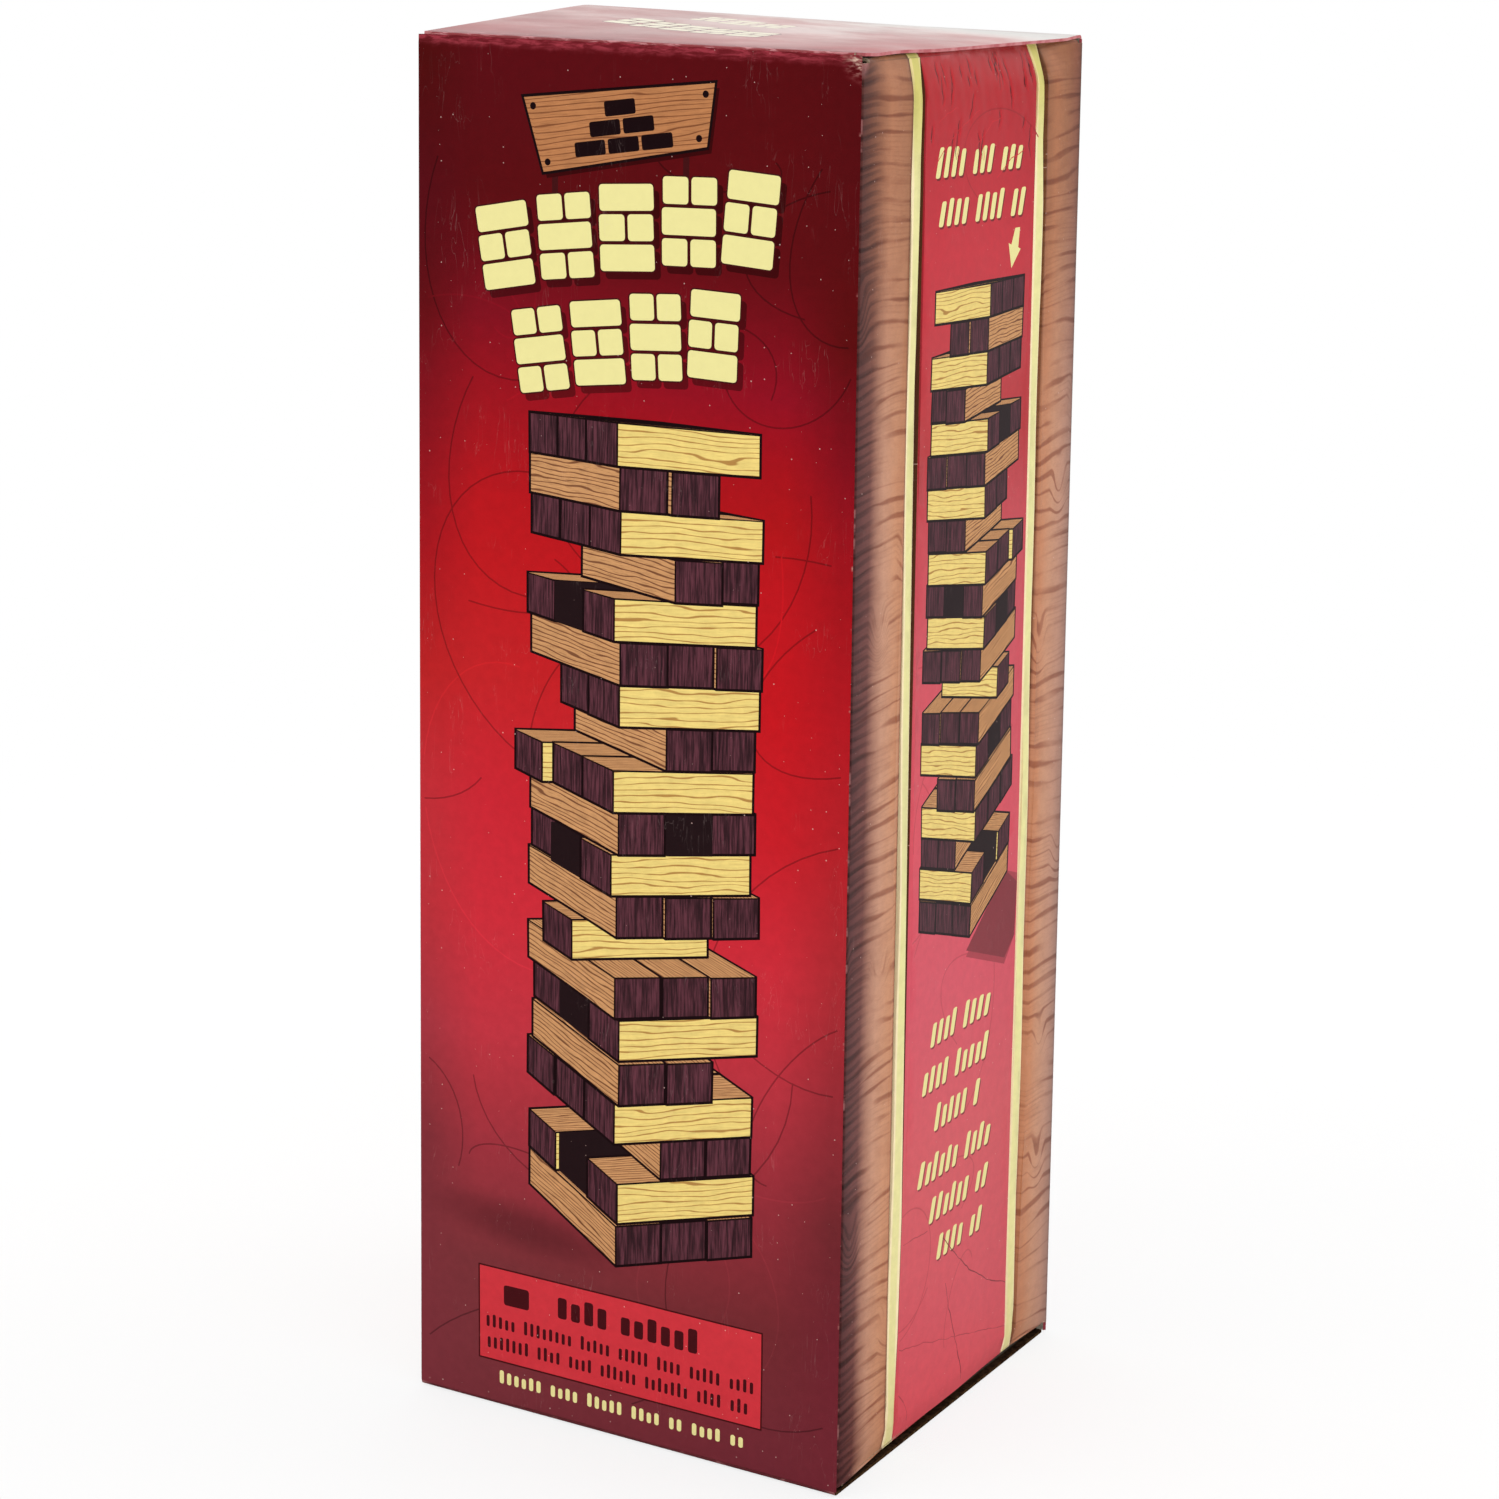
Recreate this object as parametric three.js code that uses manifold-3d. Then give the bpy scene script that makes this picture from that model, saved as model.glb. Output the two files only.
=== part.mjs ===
// Reverse tuck end paperboard carton packed with a tower of wooden blocks.
//
// Frame: millimetres, +Z up, origin at the middle of the underside.
// The printed front faces -Y, the right-hand side faces +X.
//
// The carton is folded from one sheet, and every panel between two creases
// is its own solid, except that the glue flap is one solid with the back:
//   - the lid folds from the top of the back panel and its tuck flap slides
//     down behind the front panel;
//   - the bottom panel folds from the foot of the front panel and its tuck
//     flap slides up in front of the back panel;
//   - each side panel carries one dust flap at the top and one at the bottom;
//   - a glue flap on the back panel is bonded inside the left panel.
// Inside stand 16 crossed layers of three blocks.

import * as THREE from 'three';
import { mergeVertices } from 'three/addons/utils/BufferGeometryUtils.js';
import Module from 'manifold-3d';

// ---------------------------------------------------------------- dimensions
const WIDTH = 80;              // outside, X
const DEPTH = 80;              // outside, Y
const HEIGHT = 228.5;          // outside, Z
const BOARD = 0.5;             // paperboard thickness
const CREASE_GAP = 0.08;       // clearance across a crease between two panels
const MITRE_GAP = 0.05;        // half clearance at a folded vertical corner
const LAYER_GAP = 0.3;         // air between end panel, dust flap and blocks
const LEFT_REAR_INSET = 0.1;   // left panel's rear cut edge, in from the back face

const END_SIDE_INSET = 0.4;    // lid and bottom panel are narrower, each side
const TUCK_INSET = 0.9;        // tuck crease in from the outer face it tucks behind
const TUCK_CREASE_GAP = 0.1;   // clearance between tuck flap and end panel
const TUCK_ROOT_DROP = 0.05;   // tuck flap starts this far along from its crease
const TUCK_LENGTH = 14;
const TUCK_TILT = 5;           // degrees that the tucked flap leans inward
const TUCK_SIDE_INSET = 2;     // tuck flap is narrower than the carton, each side
const TUCK_CORNER = 7;         // radius of the tuck flap's free corners
const TUCK_CORNER_SEGMENTS = 6;

const DUST_LENGTH = 34;        // from the outer face of the side panel
const DUST_TUCK_CLEAR = 2.6;   // root corner, in from the face at the tuck end
const DUST_TUCK_TAPER = 1.4;   // extra set-back of the free corner there
const DUST_FOLD_CLEAR = 2;     // root corner, in from the face at the fold end
const DUST_FOLD_TAPER = 19.6;  // mitre that lets the flap rise under the lid
const DUST_CORNER = 4;         // radius of the free corners
const DUST_CORNER_SEGMENTS = 5;

const GLUE_WIDTH = 12;         // glue flap, from the outer back face
const GLUE_LINE = 0.05;        // adhesive thickness
const GLUE_END = 3;            // flap starts this far from the ends of the panel
const GLUE_TAPER = 6;          // its end is cut back by this at the free edge
const GLUE_ROOT = 0.25 * BOARD; // flap root, in from the outer back face

const LAYERS = 16;
const BLOCKS_PER_LAYER = 3;
const BLOCK_PITCH = 25;        // side by side
const LAYER_PITCH = 14;
const BLOCK_GAP = 0.15;        // between neighbouring blocks and layers
const BLOCK_LENGTH = 74.8;
const BLOCK_WIDTH = BLOCK_PITCH - BLOCK_GAP;
const BLOCK_HEIGHT = LAYER_PITCH - BLOCK_GAP;
const BLOCK_EASE = 0.4;        // eased edges
const END_LAYER_SHIFT = 0.5;   // top and bottom layers sit away from the tuck flaps

const WELD_TOLERANCE = 1e-5;   // joins coincident vertices before a union

// --------------------------------------------------------- derived positions
const OUTER_X = WIDTH / 2;
const OUTER_Y = DEPTH / 2;
const INNER_X = OUTER_X - BOARD;
const INNER_Y = OUTER_Y - BOARD;
const DUST_LOW = BOARD + LAYER_GAP;              // underside of bottom dust flaps
const DUST_HIGH = HEIGHT - DUST_LOW;             // top side of top dust flaps
const STACK_LOW = DUST_LOW + BOARD + LAYER_GAP;  // underside of the first layer

// ------------------------------------------------------------------ materials
const PRINT_RED = { color: 0x9c1a20, roughness: 0.42, metalness: 0 };
const PRINT_WOOD = { color: 0xb67f58, roughness: 0.45, metalness: 0 };
const PRINT_LID = { color: 0xb08088, roughness: 0.40, metalness: 0 };
const BOARD_GREY = { color: 0xb9ae9d, roughness: 0.90, metalness: 0 };
const BLOCK_WOOD = { color: 0xdcb67e, roughness: 0.65, metalness: 0 };

// ------------------------------------------------------------ shape helpers
const AXIS_X = new THREE.Vector3(1, 0, 0);
const AXIS_Y = new THREE.Vector3(0, 1, 0);
const AXIS_Z = new THREE.Vector3(0, 0, 1);

// Outline in (Y, Z), extruded toward +X.
const EXTRUDED_ALONG_X = new THREE.Matrix4().makeBasis(AXIS_Y, AXIS_Z, AXIS_X);
// Outline in (X, Z), extruded toward -Y.
const EXTRUDED_TO_FRONT = new THREE.Matrix4()
  .makeBasis(AXIS_X, AXIS_Z, AXIS_Y.clone().negate());

function add(parent, name, geometry, look) {
  geometry.deleteAttribute('uv');
  geometry.computeVertexNormals();
  const mesh = new THREE.Mesh(geometry, new THREE.MeshStandardMaterial(look));
  mesh.name = name;
  parent.add(mesh);
  return mesh;
}

function extrude(points, depth, bevel = { bevelEnabled: false }) {
  const shape = new THREE.Shape(points.map(([x, y]) => new THREE.Vector2(x, y)));
  return new THREE.ExtrudeGeometry(shape, { depth, steps: 1, ...bevel });
}

// Closed prism: outline in XY, from bottomZ to topZ.
function prism(points, bottomZ, topZ) {
  return extrude(points, topZ - bottomZ).translate(0, 0, bottomZ);
}

// Arc points that round one corner between its two neighbours.
function cornerArc(before, corner, after, radius, segments) {
  const apex = new THREE.Vector2(...corner);
  const toBefore = new THREE.Vector2(...before).sub(apex).normalize();
  const toAfter = new THREE.Vector2(...after).sub(apex).normalize();
  const halfAngle = Math.acos(THREE.MathUtils.clamp(toBefore.dot(toAfter), -1, 1)) / 2;
  const reach = radius / Math.tan(halfAngle);
  const centre = toBefore.clone().add(toAfter)
    .setLength(radius / Math.sin(halfAngle)).add(apex);
  const start = toBefore.multiplyScalar(reach).add(apex).sub(centre);
  const end = toAfter.multiplyScalar(reach).add(apex).sub(centre);
  const startAngle = Math.atan2(start.y, start.x);
  let sweep = Math.atan2(end.y, end.x) - startAngle;
  // take the short way round
  if (sweep > Math.PI) sweep -= 2 * Math.PI;
  if (sweep < -Math.PI) sweep += 2 * Math.PI;
  return Array.from({ length: segments + 1 }, (_, k) => {
    const angle = startAngle + (sweep * k) / segments;
    return [centre.x + radius * Math.cos(angle), centre.y + radius * Math.sin(angle)];
  });
}

// Rounds corners of a polygon. Each entry is [x, y] or [x, y, radius].
function rounded(points, segments) {
  const count = points.length;
  return points.flatMap(([x, y, radius], i) => {
    if (!radius) return [[x, y]];
    const before = points[(i + count - 1) % count].slice(0, 2);
    const after = points[(i + 1) % count].slice(0, 2);
    return cornerArc(before, [x, y], after, radius, segments);
  });
}

// ------------------------------------------------------------ joining solids
const wasm = await Module();
wasm.setup();

function toSolid(geometry) {
  // normals and uvs would keep coincident vertices apart
  geometry.deleteAttribute('normal');
  geometry.deleteAttribute('uv');
  const welded = mergeVertices(geometry, WELD_TOLERANCE);
  return new wasm.Manifold(new wasm.Mesh({
    numProp: 3,
    vertProperties: new Float32Array(welded.attributes.position.array),
    triVerts: new Uint32Array(welded.index.array),
  }));
}

function union(first, second) {
  const mesh = toSolid(first).add(toSolid(second)).getMesh();
  const geometry = new THREE.BufferGeometry();
  const positions = new Float32Array(mesh.vertProperties);
  geometry.setAttribute('position', new THREE.BufferAttribute(positions, 3));
  geometry.setIndex(new THREE.BufferAttribute(new Uint32Array(mesh.triVerts), 1));
  return geometry;
}

// ------------------------------------------------------------- wall panels
// Mitred to both side panels. Its top edge is a bare cut edge.
function frontPanel() {
  return prism([
    [-OUTER_X + MITRE_GAP, -OUTER_Y],
    [OUTER_X - MITRE_GAP, -OUTER_Y],
    [INNER_X - MITRE_GAP, -INNER_Y],
    [-INNER_X + MITRE_GAP, -INNER_Y],
  ], 0, HEIGHT);
}

// Folded to front and back.
function rightPanel() {
  return prism([
    [OUTER_X, -OUTER_Y + MITRE_GAP],
    [OUTER_X, OUTER_Y - MITRE_GAP],
    [INNER_X, INNER_Y - MITRE_GAP],
    [INNER_X, -INNER_Y + MITRE_GAP],
  ], DUST_LOW, DUST_HIGH);
}

// Folded to the front; its rear edge is a cut edge that covers the glue flap.
function leftPanel() {
  const rearY = OUTER_Y - LEFT_REAR_INSET;
  return prism([
    [-OUTER_X, -OUTER_Y + MITRE_GAP],
    [-INNER_X, -INNER_Y + MITRE_GAP],
    [-INNER_X, rearY],
    [-OUTER_X, rearY],
  ], DUST_LOW, DUST_HIGH);
}

// Back wall with the glue flap turned forward inside the left panel.
function backPanel() {
  const glueX = -INNER_X + GLUE_LINE;
  const wall = prism([
    [glueX, INNER_Y],
    [INNER_X - MITRE_GAP, INNER_Y],
    [OUTER_X - MITRE_GAP, OUTER_Y],
    [glueX, OUTER_Y],
  ], 0, HEIGHT);

  const rootY = OUTER_Y - GLUE_ROOT;
  const freeY = OUTER_Y - GLUE_WIDTH;
  const lowZ = GLUE_END;
  const highZ = HEIGHT - GLUE_END;
  const flap = extrude([
    [rootY, lowZ],
    [rootY, highZ],
    [INNER_Y, highZ],
    [freeY, highZ - GLUE_TAPER],
    [freeY, lowZ + GLUE_TAPER],
    [INNER_Y, lowZ],
  ], BOARD);
  flap.applyMatrix4(EXTRUDED_ALONG_X).translate(glueX, 0, 0);
  return union(wall, flap);
}

// -------------------------------------------------------------- end closures
// All outlines are for the top closure.
function endPanel() {
  const sideX = OUTER_X - END_SIDE_INSET;
  const tuckEdgeY = -OUTER_Y + TUCK_INSET + BOARD + TUCK_CREASE_GAP;
  const foldEdgeY = INNER_Y - CREASE_GAP;
  return prism([
    [-sideX, tuckEdgeY],
    [sideX, tuckEdgeY],
    [sideX, foldEdgeY],
    [-sideX, foldEdgeY],
  ], HEIGHT - BOARD, HEIGHT);
}

// Hangs down from the crease, which lies on the X axis of its own frame.
function tuckFlap() {
  const sideX = OUTER_X - TUCK_SIDE_INSET;
  const outline = rounded([
    [-sideX, -TUCK_ROOT_DROP],
    [-sideX, -TUCK_LENGTH, TUCK_CORNER],
    [sideX, -TUCK_LENGTH, TUCK_CORNER],
    [sideX, -TUCK_ROOT_DROP],
  ], TUCK_CORNER_SEGMENTS);
  return extrude(outline, BOARD).applyMatrix4(EXTRUDED_TO_FRONT).translate(0, BOARD, 0);
}

// Right-hand dust flap, seen from above.
function dustOutline() {
  const rootX = INNER_X - CREASE_GAP;
  const tipX = OUTER_X - DUST_LENGTH;
  const tuckY = -OUTER_Y + DUST_TUCK_CLEAR;
  const foldY = OUTER_Y - DUST_FOLD_CLEAR;
  return rounded([
    [rootX, tuckY],
    [rootX, foldY],
    [tipX, foldY - DUST_FOLD_TAPER, DUST_CORNER],
    [tipX, tuckY + DUST_TUCK_TAPER, DUST_CORNER],
  ], DUST_CORNER_SEGMENTS);
}

function closure(panelName, endName) {
  const group = new THREE.Group();
  add(group, `${panelName}_panel`, endPanel(), PRINT_LID);

  // leans inward about the outer corner of the tuck crease
  const pivot = new THREE.Group();
  pivot.position.set(0, -OUTER_Y + TUCK_INSET, HEIGHT);
  pivot.rotation.x = THREE.MathUtils.degToRad(TUCK_TILT);
  add(pivot, `${panelName}_tuck_flap`, tuckFlap(), PRINT_LID);
  group.add(pivot);

  const right = dustOutline();
  const left = right.map(([x, y]) => [-x, y]).reverse();
  for (const [side, outline] of Object.entries({ right, left })) {
    const flap = prism(outline, DUST_HIGH - BOARD, DUST_HIGH);
    add(group, `${endName}_dust_flap_${side}`, flap, BOARD_GREY);
  }
  return group;
}

// -------------------------------------------------------------------- blocks
// Octagonal section run along X, with chamfered ends. The bevel grows the
// outline by the ease, so the outline starts that much smaller.
function blockGeometry() {
  const ease = BLOCK_EASE;
  const sideY = BLOCK_WIDTH / 2 - ease;
  const faceZ = BLOCK_HEIGHT / 2 - ease;
  const depth = BLOCK_LENGTH - 2 * ease;
  const section = [
    [-sideY + ease, -faceZ], [sideY - ease, -faceZ],
    [sideY, -faceZ + ease], [sideY, faceZ - ease],
    [sideY - ease, faceZ], [-sideY + ease, faceZ],
    [-sideY, faceZ - ease], [-sideY, -faceZ + ease],
  ];
  const bevel = {
    curveSegments: 1,
    bevelEnabled: true,
    bevelSegments: 1,
    bevelThickness: ease,
    bevelSize: ease,
  };
  return extrude(section, depth, bevel)
    .translate(0, 0, -depth / 2)
    .applyMatrix4(EXTRUDED_ALONG_X);
}

function blockLayer(layer) {
  const group = new THREE.Group();
  group.position.z = STACK_LOW + (layer - 1) * LAYER_PITCH + BLOCK_HEIGHT / 2;
  if (layer === 1) group.position.y = -END_LAYER_SHIFT;
  if (layer === LAYERS) group.position.y = END_LAYER_SHIFT;
  for (let k = 1; k <= BLOCKS_PER_LAYER; k++) {
    const offset = (k - (BLOCKS_PER_LAYER + 1) / 2) * BLOCK_PITCH;
    const name = `block_${String(layer).padStart(2, '0')}_${k}`;
    const block = add(group, name, blockGeometry(), BLOCK_WOOD);
    if (layer % 2 === 1) {
      block.position.y = offset;             // long side along X
    } else {
      block.rotation.z = Math.PI / 2;        // long side along Y
      block.position.x = offset;
    }
  }
  return group;
}

// ------------------------------------------------------------------ assembly
const carton = new THREE.Group();
add(carton, 'front_panel', frontPanel(), PRINT_RED);
add(carton, 'right_panel', rightPanel(), PRINT_WOOD);
add(carton, 'left_panel', leftPanel(), PRINT_WOOD);
add(carton, 'back_panel', backPanel(), PRINT_WOOD);
carton.add(closure('lid', 'top'));

// The bottom closure is the top one turned half a turn about X, which is
// what makes this a reverse tuck end.
const bottom = closure('bottom', 'bottom');
bottom.rotation.x = Math.PI;
bottom.position.z = HEIGHT;
carton.add(bottom);

for (let layer = 1; layer <= LAYERS; layer++) {
  carton.add(blockLayer(layer));
}

export default carton;
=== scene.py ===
# Looks for the tuck-end carton of wooden blocks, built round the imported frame.
# All sizes below are in millimetres in each sheet's own print coordinates
# (u across the face from its left fold, v up), and go to metres in the mesh.
import math
import random

import bpy
import numpy as np
from mathutils import Matrix, Vector
from mathutils.geometry import delaunay_2d_cdt


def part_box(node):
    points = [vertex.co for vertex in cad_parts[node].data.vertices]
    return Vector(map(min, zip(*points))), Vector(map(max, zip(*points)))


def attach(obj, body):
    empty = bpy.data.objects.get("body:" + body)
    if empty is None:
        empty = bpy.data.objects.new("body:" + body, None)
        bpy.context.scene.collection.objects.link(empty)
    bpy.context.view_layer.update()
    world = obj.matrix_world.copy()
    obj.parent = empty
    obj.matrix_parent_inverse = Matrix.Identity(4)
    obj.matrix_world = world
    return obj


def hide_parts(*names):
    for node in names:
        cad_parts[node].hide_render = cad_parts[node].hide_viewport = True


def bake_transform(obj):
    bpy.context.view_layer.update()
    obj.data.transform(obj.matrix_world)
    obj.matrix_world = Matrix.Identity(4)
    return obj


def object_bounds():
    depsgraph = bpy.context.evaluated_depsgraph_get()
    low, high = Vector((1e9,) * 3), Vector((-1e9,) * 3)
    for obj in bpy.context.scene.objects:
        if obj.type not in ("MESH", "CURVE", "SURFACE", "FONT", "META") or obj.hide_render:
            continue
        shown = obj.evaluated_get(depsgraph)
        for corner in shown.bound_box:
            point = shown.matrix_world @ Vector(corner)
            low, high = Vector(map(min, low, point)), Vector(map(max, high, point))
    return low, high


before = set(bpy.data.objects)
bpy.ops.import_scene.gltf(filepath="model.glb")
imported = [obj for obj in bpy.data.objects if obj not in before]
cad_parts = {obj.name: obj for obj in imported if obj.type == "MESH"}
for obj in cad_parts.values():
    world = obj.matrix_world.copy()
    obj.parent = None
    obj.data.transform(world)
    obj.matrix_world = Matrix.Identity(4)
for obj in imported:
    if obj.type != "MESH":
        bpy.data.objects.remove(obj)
cad_lo, cad_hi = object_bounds()

scene = bpy.context.scene
scene.view_settings.view_transform = "Standard"
scene.view_settings.look = "None"

# ------------------------------------------------------------------ dimensions
W = (cad_hi.x - cad_lo.x) * 1000            # 80 wide and deep
H = (cad_hi.z - cad_lo.z) * 1000            # 228.5 high
HX = W / 2
T = 0.5                                     # board
R = 0.7                                     # radius of a folded corner
LID_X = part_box("lid_panel")[1].x * 1000     # half width of the lid
DUST_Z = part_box("top_dust_flap_right")[1].z * 1000
DUST_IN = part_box("top_dust_flap_right")[0].x * 1000
TUCK_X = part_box("lid_tuck_flap")[1].x * 1000
ARC = 1.1                                   # length of a 90 degree crease
SIDE_V0, SIDE_V1 = H - DUST_Z + R, DUST_Z - R
LID_V = H - R                               # back panel ends and the lid's crease starts


# ------------------------------------------------------------------ small maths
def sm(x, a, b):
    t = np.clip((np.asarray(x, float) - a) / (b - a), 0, 1)
    return t * t * (3 - 2 * t)


def make_waves(seed, n, lo, hi):
    r = random.Random(seed)
    out = []
    for _ in range(n):
        lam, th = r.uniform(lo, hi), r.uniform(0, math.pi)
        k = 2 * math.pi / lam
        out.append((k * math.cos(th), k * math.sin(th), r.uniform(0, 6.28)))
    return out


def waves(ws, u, v):
    return sum(np.sin(a * u + b * v + p) for a, b, p in ws) / math.sqrt(len(ws))


def area(p):
    return 0.5 * sum(p[i - 1][0] * p[i][1] - p[i][0] * p[i - 1][1] for i in range(len(p)))


def ccw(p):
    return p if area(p) > 0 else p[::-1]


def hull(points):
    pts = sorted(set((round(x, 6), round(y, 6)) for x, y in points))
    def half(seq):
        out = []
        for p in seq:
            while len(out) > 1 and (out[-1][0] - out[-2][0]) * (p[1] - out[-2][1]) - (out[-1][1] - out[-2][1]) * (p[0] - out[-2][0]) <= 1e-9:
                out.pop()
            out.append(p)
        return out
    return half(pts)[:-1] + half(pts[::-1])[:-1]


def offset(poly, d):
    """A convex outline moved out by d, or in when d is negative."""
    p = ccw(poly)
    n = len(p)
    out = []
    for i in range(n):
        a, b, c = Vector(p[i - 1]), Vector(p[i]), Vector(p[(i + 1) % n])
        e1, e2 = (b - a).normalized(), (c - b).normalized()
        n1, n2 = Vector((e1.y, -e1.x)), Vector((e2.y, -e2.x))
        k = n1 + n2
        k = k / max(k.length_squared / 2, 0.35) if k.length_squared > 1e-9 else n1
        out.append(tuple(b + k * d))
    return out


def rrect(cx, cy, w, h, deg=0.0, r=0.4, n=3, slant=0.0):
    pts = []
    for sx, sy, a0 in ((1, 1, 0), (-1, 1, 90), (-1, -1, 180), (1, -1, 270)):
        for k in range(n + 1):
            a = math.radians(a0 + 90 * k / n)
            pts.append((sx * (w / 2 - r) + r * math.cos(a), sy * (h / 2 - r) + r * math.sin(a)))
    c, s = math.cos(math.radians(deg)), math.sin(math.radians(deg))
    return [(cx + (x + slant * y) * c - y * s, cy + (x + slant * y) * s + y * c) for x, y in pts]


def disc(cx, cy, r, n=12):
    return [(cx + r * math.cos(6.28318 * k / n), cy + r * math.sin(6.28318 * k / n)) for k in range(n)]


def affine(origin, deg, scale=1.0):
    """Maps print coordinates to (along, across) of a grain that runs at deg."""
    c, s = math.cos(math.radians(deg)), math.sin(math.radians(deg))
    ox, oy = origin
    return np.array([[c * scale, s * scale, -(c * ox + s * oy) * scale],
                     [-s * scale, c * scale, (s * ox - c * oy) * scale],
                     [0, 0, 1.0]])


def homography(quad, size):
    """Maps a drawn quad to the rectangle (0,0)-(size) that it shows in perspective."""
    dst = [(0, 0), (size[0], 0), (size[0], size[1]), (0, size[1])]
    rows, rhs = [], []
    for (x, y), (s, t) in zip(quad, dst):
        rows.append([x, y, 1, 0, 0, 0, -s * x, -s * y]); rhs.append(s)
        rows.append([0, 0, 0, x, y, 1, -t * x, -t * y]); rhs.append(t)
    h = np.linalg.lstsq(np.array(rows, float), np.array(rhs, float), rcond=None)[0]
    return np.append(h, 1).reshape(3, 3)


# ------------------------------------------------------------------ printed art
class Art:
    """Flat shapes in print order. The last one that covers a spot is the one seen."""

    def __init__(self, shift=None):
        self.items = []
        self.shift = shift                  # how far the print sits off its nominal place

    def add(self, pts, ink, grain=None, seed=0.0):
        if self.shift:
            pts = [self.shift(*p) for p in pts]
        if abs(area(pts)) > 1e-3:
            self.items.append((ccw(list(pts)), ink, grain, seed))

    def line(self, pts, width, ink, run=9):
        """A thin drawn line, in short runs so that a loop never covers itself."""
        for i in range(0, len(pts) - 1, run):
            part = pts[i:i + run + 1]
            if len(part) < 2:
                continue
            left, right = [], []
            for k, p in enumerate(part):
                a, b = Vector(part[max(k - 1, 0)]), Vector(part[min(k + 1, len(part) - 1)])
                if (b - a).length < 1e-6:
                    continue
                d = (b - a).normalized() * (width / 2)
                left.append((p[0] - d.y, p[1] + d.x))
                right.append((p[0] + d.y, p[1] - d.x))
            if len(left) > 1:
                self.add(left + right[::-1], ink)


def shift_front(u, v):
    t = v / H
    return (u + (1 - t) * (0.93 - 0.0184 * u) + t * (0.0053 * u - 0.31), v - 5.0 * t * (1 - t))


def shift_side(u, v):
    t = v / H
    return (u + t * (0.3 + 0.0195 * u) - (1 - t) * (1.0 + 0.0066 * u), v - 0.9 + 1.4e-4 * (v - 130) ** 2 - (0.009 + 0.010 * t) * u)


def scribbles(art, seed, count, u0, u1, v0, v1, inks, size):
    r = random.Random(seed)
    for i in range(count):
        cx, cy = r.uniform(u0 - 6, u1 + 6), r.uniform(v0, v1)
        rx = r.uniform(*size)
        ry = rx * r.uniform(0.35, 0.9)
        rot, a0, sweep = r.uniform(0, 6.28), r.uniform(0, 6.28), r.uniform(2.2, 5.0)
        drift = r.uniform(-0.5, 0.5)
        run = []
        n = int(26 * sweep / 3)
        for k in range(n + 1):
            a = a0 + sweep * k / n
            g = 1 + drift * k / n
            x, y = rx * g * math.cos(a), ry * g * math.sin(a)
            p = (cx + x * math.cos(rot) - y * math.sin(rot), cy + x * math.sin(rot) + y * math.cos(rot))
            if u0 < p[0] < u1 and v0 < p[1] < v1:
                run.append(p)
            else:
                if len(run) > 2:
                    art.line(run, 0.27, inks[i % len(inks)])
                run = []
        if len(run) > 2:
            art.line(run, 0.27, inks[i % len(inks)])


# The drawn tower: missing blocks by layer from the bottom, and how far blocks stick out.
GONE = {1: {1}, 2: {0}, 4: {2}, 5: {1}, 7: {0, 2}, 9: {1}, 10: {1}, 12: {0}, 13: {2}, 15: {1}, 16: {0}, 18: {2}}


def tower(art, edge_u, base_v, k=1.0, mirror=False, seed=5, layers=20, out=0.27):
    r = random.Random(seed)
    side, pitch = 32.6 * k, 7.0 * k
    w = side / 3
    dist, eye = 330.0 * k, layers * pitch + 5.0 * k
    ang = math.radians(33.7)
    er, el = (math.cos(ang), math.sin(ang)), (-math.sin(ang), math.cos(ang))

    def project(a, b, z):
        x, depth = a * el[0] + b * er[0], dist + a * el[1] + b * er[1]
        u = dist * x / depth
        return (edge_u + (-u if mirror else u), base_v + eye - dist * (eye - z) / depth)

    def block(a0, a1, b0, b1, z0, z1, along_b, gap, sd):
        c = [project(a, b, z) for a in (a0, a1) for b in (b0, b1) for z in (z0, z1)]
        shell = hull(c)
        if gap:
            art.add(shell, "ink_gap")
            return
        art.add(offset(shell, out), "ink_black")
        top = [project(a0, b0, z1), project(a0, b1, z1), project(a1, b1, z1), project(a1, b0, z1)]
        right = [project(a0, b0, z0), project(a0, b1, z0), project(a0, b1, z1), project(a0, b0, z1)]
        left = [project(a0, b0, z0), project(a1, b0, z0), project(a1, b0, z1), project(a0, b0, z1)]
        la, lb, lz = (a1 - a0) / k, (b1 - b0) / k, (z1 - z0) / k
        hm = homography(top, (lb, la))
        if not along_b:
            hm = np.array([hm[1], hm[0], hm[2]])
        if abs(area(offset(top, -0.1))) > 0.4:
            art.add(offset(top, -0.14), "ink_tan", hm, sd + 31)
        if along_b:
            art.add(offset(right, -0.17), "ink_light", homography(right, (lb, lz)), sd)
            art.add(offset(left, -0.17), "ink_end", homography(left, (la, lz)), sd + 7)
        else:
            art.add(offset(left, -0.17), "ink_tan", homography(left, (la, lz)), sd)
            art.add(offset(right, -0.17), "ink_end", homography(right, (lb, lz)), sd + 7)

    for i in range(layers):
        along_b = i % 2 == 1
        z0, z1 = i * pitch, (i + 1) * pitch - 0.1 * k
        lean = 0.9 * k * math.sin(i * 1.7 + seed)
        for j in (2, 1, 0):
            gap = j in GONE.get(i, ())
            slip = r.uniform(-0.8, 0.8) * k * (0.45 if along_b else 1.0)
            if r.random() < 0.10:
                slip += -2.4 * k
            if gap and j != 1:
                continue
            p0, p1 = j * w + 0.12 * k, (j + 1) * w - 0.12 * k
            sd = float(seed * 100 + i * 3 + j)
            if along_b:
                block(p0 + 0.3 * lean, p1 + 0.3 * lean, lean + slip, side + lean + slip, z0, z1, True, gap, sd)
            else:
                block(lean + slip, side + lean + slip, p0 + 0.3 * lean, p1 + 0.3 * lean, z0, z1, False, gap, sd)


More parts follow.
